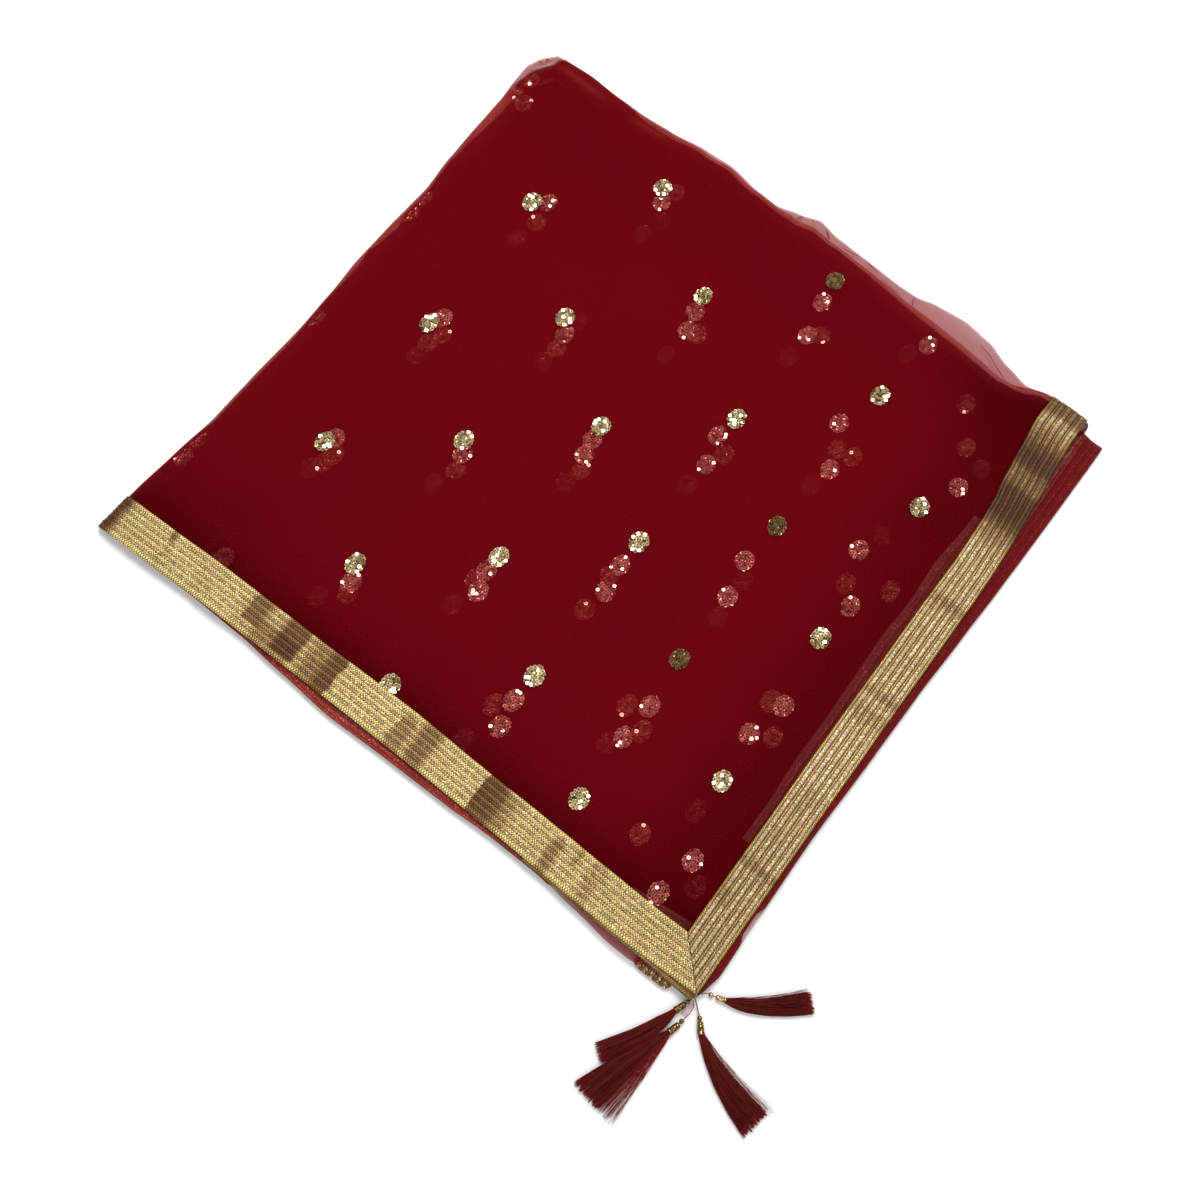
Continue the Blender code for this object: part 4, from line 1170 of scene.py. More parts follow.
@dataclass
class TopNet:
    """The top layer, in one sheet from the laced edges to the two rolled folds."""

    finish: NetFinish
    field_steps: int = 230
    roll_steps: int = 7
    lace_share: float = 0.985
    corner_share: float = 0.13

    def places(self) -> Pair:
        """Cloth places of the sheet's grid.

        Returns:
            Places along X and along Y.
        """
        shares = np.linspace(0, 1, self.field_steps + 1)
        roll = np.linspace(0, 1, self.roll_steps + 1)[1:]
        column, row = np.meshgrid(np.concatenate((-roll[::-1], shares)),
                                  np.concatenate((shares, 1 + roll)))
        # A first guess, which the rounds set right
        x, y = mixed(-276, 283, column), mixed(-279, 276, row)
        for _ in range(ROUNDS):
            plan_y = np.minimum(y, FORM.start_y(x))
            across = self.lace_share + self.corner_share * step(y, 258, 266) \
                * (1 - step(y, 270, 283))
            end = mixed(read(END_LACE, plan_y, 1), read(END_LACE, plan_y, 2), across)
            start = FORM.start_x(plan_y)
            rolled = start + np.minimum(column, 0) * FORM.left_arc_at(plan_y)
            x = np.where(column < 0, rolled, mixed(start, end, np.maximum(column, 0)))
            plan_x = np.maximum(x, FORM.start_x(plan_y))
            side = mixed(read(SIDE_LACE, plan_x, 1), read(SIDE_LACE, plan_x, 2), self.lace_share)
            start = FORM.start_y(plan_x)
            rolled = start + np.maximum(row - 1, 0) * FORM.far_arc_at(plan_x)
            y = np.where(row > 1, rolled, mixed(side, start, np.minimum(row, 1)))
        return x, y

    def build(self) -> Piece:
        """Build the sheet.

        Returns:
            The finished piece.
        """
        x, y = self.places()
        under_lace = np.maximum(step(x - read(END_LACE, y, 1), -6, 0),
                                step(read(SIDE_LACE, x, 1) - y, -6, 0))
        lift = ridges(FINE_CREASES, x, y) + 0.1 * drift(x, y, 34, 3)
        points = FORM.face(x, y, lift * (1 - under_lace))
        plan_x, plan_y = points[..., 0], points[..., 1]
        past, past_second = past_line(plan_x, plan_y, 2), past_line(plan_x, plan_y, 1)
        pale = np.clip(ridges(PALE_PATCHES, plan_x, plan_y), 0, 1)
        beyond = np.maximum(step(past, -2.2, 2.2), pale)
        streaks = drift(x * 0.35, y * 1.6, 26, 4) + drift(x * 1.5, y * 0.4, 24, 5)
        shade = mixed(cloth_tone(x, y), 1 + 0.075 * streaks, beyond)
        shade = shade * (1 + 0.1 * step(past, -12, -2))
        loop = step(x - read(END_LACE, y, 2), -0.5, 0.3)
        doubled = 0.07 * hump((past_second - 0.5) / 0.8) - 0.08 * step(past_second, 10, 24)
        mesh = MeshSet()
        mesh.add_grid(points, stacked(x, y), beyond=beyond * (1 - loop),
                      shade=shade * (1 - 0.3 * loop), doubled=doubled + 0.66 * loop)
        return mesh.piece("top_net", self.finish, Slot.NET, "top_layer")


@dataclass
class NetLayer:
    """One net under the top one."""

    name: str
    level: float
    clear: float
    line: int
    outset: float
    finish: NetFinish
    open_edges: bool = False
    hides: bool = False
    steps: int = 150
    crowding: float = 0.11
    corner_y: float = 266.6

    def places(self) -> Pair:
        """Plan places of the layer's grid, closer together at its edges.

        Returns:
            Places along X and along Y.
        """
        share = np.linspace(0, 1, self.steps + 1)
        share = share + self.crowding * np.sin(share * math.tau) / math.pi
        column, row = np.meshgrid(share, share)
        # A first guess, which the rounds set right
        x, y = mixed(-270, 283, column), mixed(-279, 270, row)
        edge, hem = (3, 0.3) if self.open_edges else (2, 1.5)
        for _ in range(ROUNDS):
            left_edge, far_edge = read(LEFT_FOLD, y, 1), read(FAR_FOLD, x, 1)
            left = left_edge + np.maximum(0.3, read(LEFT_LINES, y, self.line) - self.outset)
            far = far_edge - np.maximum(0.3, read(FAR_LINES, x, self.line) - self.outset)
            right, low = read(END_LACE, y, edge) - hem, read(SIDE_LACE, x, edge) + hem
            far = mixed(far, self.corner_y, step(x, 246, 254))
            x, y = mixed(left, right, column), mixed(low, far, row)
        return x, y

    def build(self) -> Piece:
        """Build the layer.

        Returns:
            The finished piece.
        """
        x, y = self.places()
        points = FORM.under(x, y, self.level, self.clear)
        past_side = step(read(SIDE_LACE, x, 2) - y, -1, 1)
        past_end = step(x - read(END_LACE, y, 2), -1, 1)
        free = np.maximum(past_side, past_end) * self.open_edges
        points[..., 2] += free * 0.22 * drift(x, y, 21, 6)
        # Near the tassels the side's hem is bare of lace; one stretch of the end's hem is thin
        bare = past_side * step(x, 152, 168) * self.open_edges
        thin = past_end * step(x, 285.6, 286.4) * step(y, -230, -224) \
            * step(y, -202, -208) * self.open_edges
        past = past_line(x, y, 2)
        beyond = np.maximum(step(past, -2.2, 2.2), thin)
        shade = mixed(cloth_tone(x, y), mixed(0.8, 1.4, past_side), free)
        shade = mixed(shade, 1, beyond) * (1 - 0.36 * bare)
        shade = shade * (1 - 0.42 * bare * step(x, 232, 242))
        doubled = free * mixed(0.3, 0.1, past_side) * (1 - thin) - 0.22 * thin + 0.36 * bare
        doubled = doubled + 0.26 * hump((past - 0.2) / 1.7) * (1 - free)
        if self.hides:
            # It hides the deep layers' edge, and pales towards the outline
            past_stack = np.maximum(read(LEFT_FOLD, y, 2) + STACK_INSET - x, y - stack_far_y(x))
            cover = step(past_stack, -4.5, -2)
            tail = 1 - step(past, 0, -16)
            doubled = doubled + 0.8 * cover
            shade = mixed(shade, shade * mixed(0.66, 0.86, tail), cover)
            beyond = mixed(beyond, tail, cover)
        mesh = MeshSet()
        mesh.add_grid(points, stacked(x, y), beyond=beyond, shade=shade, doubled=doubled)
        node = "second_layer" if self.open_edges else ""
        return mesh.piece(self.name, self.finish, Slot.NET, node)


@dataclass
class LayerStack:
    """The layers too deep to see apart, as one shell with a leaf for each at its edges."""

    finish: StackFinish
    height: float = 6.05
    height_under_lace: float = 4.8
    edge_height: float = 4.1
    leaves: int = 6
    groove: float = 2.4
    floor_inset: float = 0.8
    wander: float = 0.62
    spacing: float = 5.0
    half_span: float = 278.0
    lace_reach: float = 58.0
    # Where its edge's points start and stop: along the end, the far fold, the other, the side
    runs: Table = ((-272, 252.1), (270, -264.1), (244, -268.1), (-258, 268.1))
    # A leaf's inset and its share of the pitch, above the groove under it
    leaf_rings: Table = ((0.25, 0.16), (0, 0.5), (0.25, 0.84))
    # Insets of the top's rings, and how far they lie below it
    top_rings: Table = ((2, 0.25), (7, 0.06), (12, 0), (30, 0), (56, 0), (90, 0))

    def outline(self, inset: float, layer: float) -> Pair:
        """Closed outline of one leaf.

        Args:
            inset: How far it is drawn in from the stack's edge.
            layer: Which leaf it is, which sets how it wanders.

        Returns:
            Plan places along X and along Y, anticlockwise.
        """
        def jitter(t: Array) -> Array:
            """Wander of the edge at a place along it."""
            return 0.9 * np.sin(t / 23 + 1.1 * layer) + 0.6 * np.sin(t / 9 + 2.2 * layer)

        up, back, down, on = (
            np.arange(start, stop, math.copysign(self.spacing, stop - start))
            for start, stop in self.runs)
        end_x = read(END_LACE, up, 2) - 2.2 + jitter(up)
        left_x = read(LEFT_FOLD, down, 2) + STACK_INSET + jitter(down)
        side_y = read(SIDE_LACE, on, 2) + 2 + jitter(on)
        keep = 1 - inset / self.half_span
        return (np.concatenate((end_x, back, left_x, on)) * keep,
                np.concatenate((up, stack_far_y(back) + jitter(back), down, side_y)) * keep)

    def top(self, x: Array, y: Array) -> Array:
        """Height of the stack's top, lower under the second layer's lace.

        Args:
            x: Plan places along X.
            y: Plan places along Y.

        Returns:
            The height at each place.
        """
        under_end = step(x - read(END_LACE, y, 3) + self.lace_reach, 0, 8)
        under_side = step(read(SIDE_LACE, x, 3) + self.lace_reach - y, 0, 8)
        under = np.maximum(under_end, under_side)
        return mixed(self.height, self.height_under_lace, under) - FORM.droop(x, y)

    def build(self) -> Piece:
        """Build the shell.

        Returns:
            The finished piece.
        """
        rings = []
        pitch = self.edge_height / self.leaves
        for leaf in range(self.leaves):
            foot = self.groove if leaf else self.floor_inset
            for inset, share in ((foot, 0), *self.leaf_rings):
                x, y = self.outline(inset, leaf * self.wander)
                rings.append(stacked(x, y, (leaf + share) * pitch))
        for inset, drop in self.top_rings:
            x, y = self.outline(inset, self.leaves * self.wander)
            rings.append(stacked(x, y, self.top(x, y) - drop))
        points = np.stack(rings)
        mesh = MeshSet()
        mesh.add_shell(points, points[..., :2], shade=cloth_tone(points[..., 0], points[..., 1]))
        return mesh.piece("net_stack", self.finish, Slot.NET_LAYERS, "hidden_layers", 50)


@dataclass
class FoldPleats:
    """Pinched pleats of the net that cross its rolled fold."""

    finish: NetFinish
    lines: Table = PLEAT_LINES
    steps: int = 18
    height: float = 0.42

    def build(self) -> Piece:
        """Build the pleats.

        Returns:
            The finished piece.
        """
        mesh = MeshSet()
        t = np.linspace(0, 1, self.steps + 1)[:, None]
        across = np.linspace(-1, 1, 5)[None, :]
        arch = np.sin(t * math.pi)
        for x0, y0, x1, y1, width in self.lines:
            ahead = np.array((x1 - x0, y1 - y0)) / math.hypot(x1 - x0, y1 - y0)
            taper = np.sqrt(np.clip(arch, 0, 1)) * width / 2 + 0.05
            side = 0.9 * arch * math.sin(x0 * 1.3) + across * taper
            x = mixed(x0, x1, t) - ahead[1] * side
            y = mixed(y0, y1, t) + ahead[0] * side
            x, y = np.maximum(x, FORM.start_x(y)), np.minimum(y, FORM.start_y(x))
            points = FORM.face(x, y, (1 - across ** 2) * self.height * arch + 0.02)
            mesh.add_grid(points, stacked(x, y), turned=True, beyond=0, shade=1.25, doubled=0.42)
        return mesh.piece("fold_pleats", self.finish, Slot.NET)


# -------------------------------------------------------- braid lace


Line = Callable[[Array], Array | float]


@dataclass
class LaceBand:
    """A band of braided lace sewn along one open side, in full relief."""

    name: str
    finish: LaceFinish
    along_end: bool
    # Painted shade: the lace's dark patches, and how light it looks along its length
    patches: Table
    painted_lightness: Line
    node: str
    wall: float = 0.85
    gap: float = 0.32
    count: int = 658
    roll_count: int = 9
    seam: float = 0.21
    most_relief: float = 1.6

    def place(self, station: Array, share: Array) -> Pair:
        """Cloth places of the band.

        Args:
            station: Shares along the band, from its mitre at 0 to the fold's start at 1.
            share: Shares across it, from its inner edge to its outer edge.

        Returns:
            Places along X and along Y.
        """
        mitre_x = mixed(END_LACE[0][1], END_LACE[0][2], share)
        mitre_y = mixed(read(SIDE_LACE, mitre_x, 1), read(SIDE_LACE, mitre_x, 2), share)
        on, over = np.minimum(station, 1), np.maximum(station - 1, 0)
        if self.along_end:
            table, first, way = END_LACE, mitre_y + self.seam, 1
            fold, arc_at, nearer, crossing = FORM.start_y, FORM.far_arc_at, np.minimum, 265
        else:
            table, first, way = SIDE_LACE, mitre_x - self.seam, -1
            fold, arc_at, nearer, crossing = FORM.start_x, FORM.left_arc_at, np.maximum, -264
        along = mixed(first, way * 270, on)
        for _ in range(ROUNDS):
            plan = nearer(along, fold(crossing))
            across = mixed(read(table, plan, 1), read(table, plan, 2), share)
            along = mixed(first, fold(across), on) + way * over * arc_at(across)
        return (across, along) if self.along_end else (along, across)

    def tone(self, along: Array, across: Array) -> Array:
        """Painted shade of the lace: how light it is, with dark patches where it turns from the
        light.

        Args:
            along: Places along the band.
            across: Places across it.

        Returns:
            A gain near 1.
        """
        wander = 1.3 * drift(along * 0.2, across, 17, 9)
        tone = self.painted_lightness(along) * (1 + 0.05 * drift(along, across * 1.4, 38, 7))
        tone = tone + 0.05 * drift(along, across * 0.5, 6.5, 8)
        for start, stop, into, out, depth, low, high in self.patches:
            inside = ease((along + wander - start) / into) * ease((stop - along - wander) / out)
            inside = inside * step(across, low, low + 4) * step(across, high, high - 4)
            tone = tone * (1 - depth * inside)
        return np.clip(tone, 0, 1.25)

    def build(self) -> Piece:
        """Build the band.

        Returns:
            The finished piece.
        """
        pattern = self.finish.pattern
        across, rise, is_braid = (np.array(column) for column in zip(*pattern.rows()))
        roll = np.linspace(0, 1, self.roll_count + 1)[1:]
        station = np.concatenate((np.linspace(0, 1, self.count), 1 + roll))[:, None]
        x, y = self.place(station, across / pattern.width)
        along = y if self.along_end else x
        beat = np.sin((along / pattern.plait + (across % pattern.pitch) * 0.19) * math.tau)
        twist = np.sin((along / pattern.twist / 3 + across) * math.tau)
        relief = rise * (1 + np.where(is_braid, 0.16 * beat, 0.1 * twist))
        wave = ridges(LACE_WAVES, x, y) * 0.55 + 0.1 * drift(x, y, 27, 10)
        relief = np.minimum(relief + np.clip(wave, -0.15, 0.9), self.most_relief)
        under = np.linspace(1, 0, 5)
        low_x, low_y = self.place(station, under)
        low_along = low_y if self.along_end else low_x
        rings = np.concatenate((FORM.face(x, y, self.gap + self.wall + relief),
                                FORM.face(low_x, low_y, self.gap)), axis=1)
        uv = np.concatenate((stacked(along, across), stacked(low_along, under * pattern.width)),
                            axis=1)
        mesh = MeshSet()
        # The stored shade is painted shade, which the finish turns into its tint
        mesh.add_shell(rings, uv, not self.along_end, shade=self.tone(uv[..., 0], uv[..., 1]))
        return mesh.piece(self.name, self.finish, Slot.LACE, self.node, 70)


@dataclass
class LaceStrip:
    """A plain strip of the lace's reverse, where the layers below show it."""

    name: str
    finish: LaceFinish
    level: float
    along_end: bool
    start: float
    stop: float
    inner: Line
    outer: Line
    node: str = ""
    wall: float = 0.25
    spacing: float = 2.4
    columns: int = 14
    across_start: float = 0.0
    across_end: float = 32.0
    sideways: bool = False

    def build(self) -> Piece:
        """Build the strip.

        Returns:
            The finished piece.
        """
        count = int((self.stop - self.start) / self.spacing)
        along, share = np.meshgrid(np.linspace(self.start, self.stop, count),
                                   np.linspace(0, 1, self.columns), indexing="ij")
        across = mixed(self.inner(along), self.outer(along), share)
        x, y = (across, along) if self.along_end else (along, across)
        place = mixed(self.across_start, self.across_end, share)
        ribs = 0.12 * np.cos(place * math.tau / self.finish.pattern.pitch)
        top = self.level - FORM.droop(x, y) + ribs * (1 - (2 * share - 1) ** 8)
        top = np.maximum(top + 0.18 * drift(x, y, 30, 11), 0.9)
        upper, lower = stacked(x, y, top), stacked(x, y, np.maximum(top - self.wall, 0.1))
        uv = stacked(across, along - self.start) if self.sideways else stacked(along, place)
        shade = 0.9 + 0.22 * drift(x, y, 33, 12)
        mesh = MeshSet()
        mesh.add_shell(np.concatenate((upper, lower[:, ::-1]), axis=1),
                       np.concatenate((uv, uv[:, ::-1]), axis=1), turned=True,
                       shade=np.concatenate((shade, shade[:, ::-1]), axis=1))
        return mesh.piece(self.name, self.finish, Slot.LACE_REVERSE, self.node)


# ---------------------------------------------------- sequin flowers


@dataclass(frozen=True)
class Sequin:
    """One cupped sequin with its hole."""

    sides: int = 10
    # radius, height, and 1 at the rim or -1 at the hole
    rings: Table = ((1.56, 0.1, 1), (1.248, 0.045, 0.2), (0.78, 0.006, 0), (0.42, 0, -1))

    def shape(self) -> tuple[Array, Array, Array]:
        """The sequin, lying flat and centred.

        Returns:
            Its points, its faces, and 1 at its rim and -1 at its hole.
        """
        turn = np.arange(self.sides) * math.tau / self.sides
        points = [stacked(np.cos(turn) * radius, np.sin(turn) * radius, height)
                  for radius, height, _ in self.rings]
        faces = grid_faces(len(self.rings), self.sides, closed=True)[:, ::-1]
        return np.concatenate(points), faces, np.repeat([row[2] for row in self.rings], self.sides)


@dataclass
class FlowerField:
    """Oval sequin flowers of one layer, each of rings of lapped sequins."""

    depth: Depth
    finish: SequinFinish
    seed: int
    bright: tuple[int, int]
    reach: tuple[float, float] = (5.95, 7.65)
    rings: tuple[tuple[float, int], ...] = ((1, 16), (0.64, 10), (0.29, 5), (0, 1))
    tilt: float = 13.0
    dull_within: float = 11.5
    # A flower less light than this leans away, none of its sequins shine, and they are painted
    # dark as shade
    dim: float = 0.4
    dim_lean: float = 0.26
    may_shine: int = 28
    most_tone: float = 0.92
    # How far a sequin that faces the light turns, for each millimetre from the middle
    to_light: tuple[float, float] = (-0.00087, -0.00077)

    def facing(self, normal: Array, x: float, y: float, lean: tuple[float, float],
               bright: bool, rng: random.Random) -> Vector:
        """Way that a sequin faces.

        Args:
            normal: The cloth's normal under it.
            x: Its plan place along X.
            y: Its plan place along Y.
            lean: How its flower leans.
            bright: Whether it is one of the few that lie flat to the light.
            rng: The field's random source.

        Returns:
            The unit normal of the sequin.
        """
        to_light = Vector((self.to_light[0] * x, self.to_light[1] * y, 1)).normalized()
        if bright:
            return (to_light + Vector((rng.gauss(0, 0.02), rng.gauss(0, 0.02), 0))).normalized()
        tilt = math.radians(self.tilt)
        for _ in range(12):
            off = (lean[0] + rng.gauss(0, tilt), lean[1] + rng.gauss(0, tilt), 0)
            way = (Vector(normal) + Vector(off)).normalized()
            if way.angle(to_light) > math.radians(self.dull_within):
                break
        return way

    def bed(self, x: float, y: float) -> Pair:
        """Where a sequin lies.

        Args:
            x: Plan place along X.
            y: Plan place along Y.

        Returns:
            The point in millimetres, and the cloth's normal.
        """
        level, clear = self.depth.value[:2]
        if self.depth is Depth.TOP:
            return FORM.face(x, y, 0.15), FORM.normal(x, y)
        return FORM.under(x, y, level, clear), np.array(UP)

    def flower(self, mesh: MeshSet, x: float, y: float, light: float,
               rng: random.Random) -> None:
        """Add one flower.

        Args:
            mesh: The field's mesh.
            x: Plan place along X.
            y: Plan place along Y.
            light: How light it looks, from 0 to 1, painted into its sequins' tone as light and
                shade.
            rng: The field's random source.
        """
        shape, faces, rims = Sequin().shape()
        thick = self.depth.value[2]
        shape = shape * np.array((1, 1, 0.4 + 0.6 * thick))
        turn = rng.uniform(0, math.tau)
        reach_x = self.reach[0] * rng.uniform(0.94, 1.05)
        reach_y = self.reach[1] * rng.uniform(0.94, 1.04)
        is_lit = light > self.dim
        lean = (rng.gauss(0, 0.05) + (0 if is_lit else self.dim_lean), rng.gauss(0, 0.05))
        few, most = self.bright if is_lit else (0, 0)
        bright = rng.sample(range(self.may_shine), rng.randint(few, most))
        places = [(share, index, count) for share, count in self.rings for index in range(count)]
        for number, (share, index, count) in enumerate(places, start=1):
            angle = turn + (index + rng.uniform(-0.16, 0.16)) * math.tau / count
            out = share * rng.uniform(0.95, 1.05)
            place = (x + math.cos(angle) * out * reach_x, y + math.sin(angle) * out * reach_y)
            if place[0] < FORM.start_x(place[1]) + 1:
                continue
            bed, normal = self.bed(*place)
            shines = number in bright
            facing = self.facing(normal, *place, lean, shines, rng)
            spread = Matrix.Rotation(rng.uniform(0, math.tau), 3, "Z")
            basis = np.array(facing.to_track_quat("Z", "Y").to_matrix() @ spread)
            rise = (0.2 + 0.09 * (index % 2) + 0.3 * (1 - share) + 0.3 * shines) * thick
            size = rng.uniform(0.93, 1.06)
            points = bed + (shape * size) @ basis.T + np.array((0, 0, rise))
            # Painted light and shade: each tone is random about its flower's lightness, dark for a
            # dim flower, and 1, a painted glint, for a shining sequin
            tone = rng.gauss(light, 0.28) if is_lit else rng.gauss(0.07, 0.07)
            tone = 1 if shines else min(self.most_tone, max(0, tone))
            mesh.add(points, [faces], points[:, :2], tone=tone, rim=rims)

    def build(self) -> Piece:
        """Build the layer's flowers.

        Returns:
            The finished piece.
        """
        rng, mesh = random.Random(self.seed), MeshSet()
        for x, y, *light in FLOWERS[self.depth]:
            self.flower(mesh, x, y, light[0] if light else self.depth.value[3], rng)
        name = f"flowers_{self.depth.name.lower()}"
        return mesh.piece(name, self.finish, Slot.GOLD, sharp=ROUND)


# ----------------------------------------------------------- tassels


def tubes(paths: Array, radius: Array, sides: int) -> tuple[Array, list[Array]]:
    """Thin tubes along many paths of equal count.

    Args:
        paths: Points, one path a row, in millimetres.
        radius: Radius at each point.
        sides: Count of sides.

    Returns:
        The tubes' points, and the faces of their walls and ends.
    """
    ahead = np.gradient(paths, axis=1)
    ahead /= np.maximum(np.linalg.norm(ahead, axis=-1, keepdims=True), TINY)
    side = np.cross(ahead, UP)
    length = np.linalg.norm(side, axis=-1, keepdims=True)
    side = np.where(length > 0.05, side / np.maximum(length, TINY), (1, 0, 0))
    over = np.cross(side, ahead)
    turn = (np.arange(sides) * math.tau / sides)[:, None]
    ring = side[:, :, None] * np.cos(turn) + over[:, :, None] * np.sin(turn)
    points = paths[:, :, None] + ring * radius[:, :, None, None]
    count, steps = paths.shape[:2]
    first = (np.arange(count) * steps * sides)[:, None]
    walls = grid_faces(steps, sides, closed=True)[:, ::-1] + first[:, None]
    cap = np.arange(sides)
    ends = np.concatenate((first + cap, first + (steps - 1) * sides + cap[::-1]))
    return points.reshape(-1, 3), [walls.reshape(-1, 4), ends]


def heading(degrees: float) -> Array:
    """Level direction of length 1."""
    return np.array((math.cos(math.radians(degrees)), math.sin(math.radians(degrees)), 0))


@dataclass(frozen=True)
class Spray:
    """A share of a tassel's threads that spread and end alike."""

    threads: int
    low: float
    high: float
    reach: float
    ragged: float
    thickness: float = 0.24
    curl: float = 0.5
    locks: int = 9


@dataclass
class Tassel:
    """One corner tassel: its thread, bead, cap and skirt."""

    name: str
    seed: int
    cap: Place
    middle: tuple[float, float]
    end: tuple[float, float]
    half_widths: tuple[float, ...]
    bead: Place
    way: Table
    sprays: tuple[Spray, ...]
    yarn: YarnFinish
    twine: YarnFinish
    gold: GoldFinish
    cord_radius: float = 0.21
    cap_start: float = 0.0
    cap_girth: float = 1.0
    cap_length: float = 7.0
    axis_height: float = 3.3
    floor_clear: float = 0.45
    spread_height: float = 4.6
    thread_steps: int = 15
    sides: int = 36
    # Radius and height of each ring, from the mouth on the threads' side and back inside
    cap_rings: Table = (
        (0.72, 0), (1.3, 0.02), (1.62, 0.3), (1.86, 0.8), (1.98, 1.4), (1.84, 1.6),
        (1.84, 1.85), (2.02, 2.05), (2.1, 4.6), (1.98, 4.8), (1.98, 5.05), (2.14, 5.25),
        (2.24, 6.2), (2.42, 6.5), (2.46, 6.8), (2.36, 7), (2.1, 7), (1.92, 4.6), (0.72, 4.3))
    bead_rings: Table = (
        (0.68, -1.6), (0.95, -1.62), (1.28, -1.4), (1.58, -0.98), (1.74, -0.5), (1.8, 0),
        (1.74, 0.5), (1.58, 0.98), (1.28, 1.4), (0.95, 1.62), (0.68, 1.6))

    def path(self, t: Array) -> Array:
        """Centre line of the skirt.

        Args:
            t: Shares along it, from the cap's mouth at 0 to its end at 1.

        Returns:
            Plan places.
        """
        start = np.array(self.cap[:2]) + heading(self.cap[2])[:2] * self.cap_length
        middle, end = np.array(self.middle), np.array(self.end)
        control = middle * 2 - (start + end) * 0.5
        t = t[..., None]
        before = np.minimum(t, 0) * (control - start) * 2
        past = np.maximum(t - 1, 0) * (end - control) * 2
        t = np.clip(t, 0, 1)
        return start * (1 - t) ** 2 + control * 2 * t * (1 - t) + end * t * t + past + before

    def spread(self, mesh: MeshSet, spray: Spray, rng: np.random.Generator) -> None:
        """Add one spray of threads.

        Args:
            mesh: The skirt's mesh.
            spray: How many they are, and how they lie.
            rng: The skirt's random source.
        """
        count, steps = spray.threads, self.thread_steps
        side = rng.uniform(spray.low, spray.high, count)
        lock = np.round(side * spray.locks) / spray.locks
        side = side * 0.8 + lock * 0.2
        high = rng.uniform(-1, 1, count) * np.sqrt(np.clip(1 - side ** 2 * 0.6, 0.05, 1))
        reach = spray.reach - spray.ragged * rng.beta(1.2, 3, count)
        reach = reach + 0.012 * np.sin(lock * 23 + self.seed)
        side, high, reach = side[:, None], high[:, None], reach[:, None]
        t = np.broadcast_to(np.linspace(-0.05, 1, steps), (count, steps))
        t = np.where(t > 0, t * reach, t)
        inside = np.clip(t, 0, 1)

        def sway(least: float, most: float) -> Array:
            """Wave along each thread, of its own length."""
            turns = rng.uniform(least, most, (count, 1))
            return np.sin(inside * turns + rng.uniform(0, 6.3, (count, 1)))

        curl = spray.curl * inside * (sway(3, 8) + 0.5 * sway(9, 16))
        ahead = self.path(t + 0.02) - self.path(t - 0.02)
        ahead /= np.linalg.norm(ahead, axis=-1, keepdims=True)
        shares = np.linspace(0, 1, len(self.half_widths))
        offset = side * np.interp(inside, shares, self.half_widths) + curl
        plan = self.path(t) + stacked(-ahead[..., 1], ahead[..., 0]) * offset[..., None]
        axis = mixed(self.axis_height, self.floor_clear + self.spread_height / 2, inside)
        thick = mixed(1.6, self.spread_height / 2 - 0.2, ease(inside * 2.5))
        fall = 1 - 0.35 * np.clip(np.abs(side) - 0.5, 0, 1) * inside
        z = axis + high * thick * fall + 0.25 * curl
        z = np.maximum(z, self.floor_clear + spray.thickness)
        radius = spray.thickness * (1 - 0.25 * inside) * rng.uniform(0.75, 1.2, (count, 1))
        points, faces = tubes(stacked(plan[..., 0], plan[..., 1], z), radius, 3)
        tone = np.repeat(rng.uniform(0, 1, count), 3 * steps)
        cut = t / reach if spray.thickness > 0.2 else np.ones(t.shape)
        place = stacked(np.repeat(t.ravel() * 60, 3), np.tile((0, 0.4, 0.8), count * steps))
        mesh.add(points, faces, place, tone=tone, cut_end=np.repeat(cut.ravel(), 3))

    def skirt(self) -> Piece:
        """Build the skirt's threads.

        Returns:
            The finished piece.
        """
        rng, mesh = np.random.default_rng(self.seed), MeshSet()
        for spray in self.sprays:
            self.spread(mesh, spray, rng)
        name, node = f"{self.name}_threads", f"{self.name}_skirt"
        return mesh.piece(name, self.yarn, Slot.YARN, node, ROUND)

    def cord(self, sides: int = 6, turn: float = 1.9) -> Piece:
        """Build the two-ply thread from the cloth's corner into the cap.

        Args:
            sides: Count of sides of each ply.
            turn: Length of one turn of the plies.

        Returns:
            The finished piece.
        """
        bead, cap = (np.array((*place[:2], self.axis_height)) for place in (self.bead, self.cap))
        ahead, cap_ahead = heading(self.bead[2]), heading(self.cap[2])
        stops = np.array((*self.way, bead - ahead * 2.2, bead + ahead * 1.9,
                          cap - cap_ahead * 0.1, cap + cap_ahead * 4))
        lengths = np.linalg.norm(np.diff(stops, axis=0), axis=1)
        gone = np.concatenate(((0,), np.cumsum(lengths)))
        at = np.linspace(0, gone[-1], 60)
        line = stacked(*(np.interp(at, gone, stops[:, axis]) for axis in range(3)))
        line[1:-1] = (line[:-2] + line[1:-1] * 2 + line[2:]) / 4
        forward = np.gradient(line, axis=0)
        forward /= np.linalg.norm(forward, axis=-1, keepdims=True)
        side = np.cross(forward, UP)
        over = np.cross(side, forward)
        mesh = MeshSet()
        for ply in (0, math.pi):
            twist = (at * math.tau / turn + ply)[:, None]
            strand = line + self.cord_radius * 0.9 * (side * np.cos(twist) + over * np.sin(twist))
            points, faces = tubes(strand[None], np.full((1, len(at)), self.cord_radius), sides)
            mesh.add(points, faces, np.repeat(stacked(at, 0), sides, axis=0),
                     tone=0.55, cut_end=0)
        name, node = f"{self.name}_cord", f"{self.name}_thread"
        return mesh.piece(name, self.twine, Slot.YARN, node, ROUND)

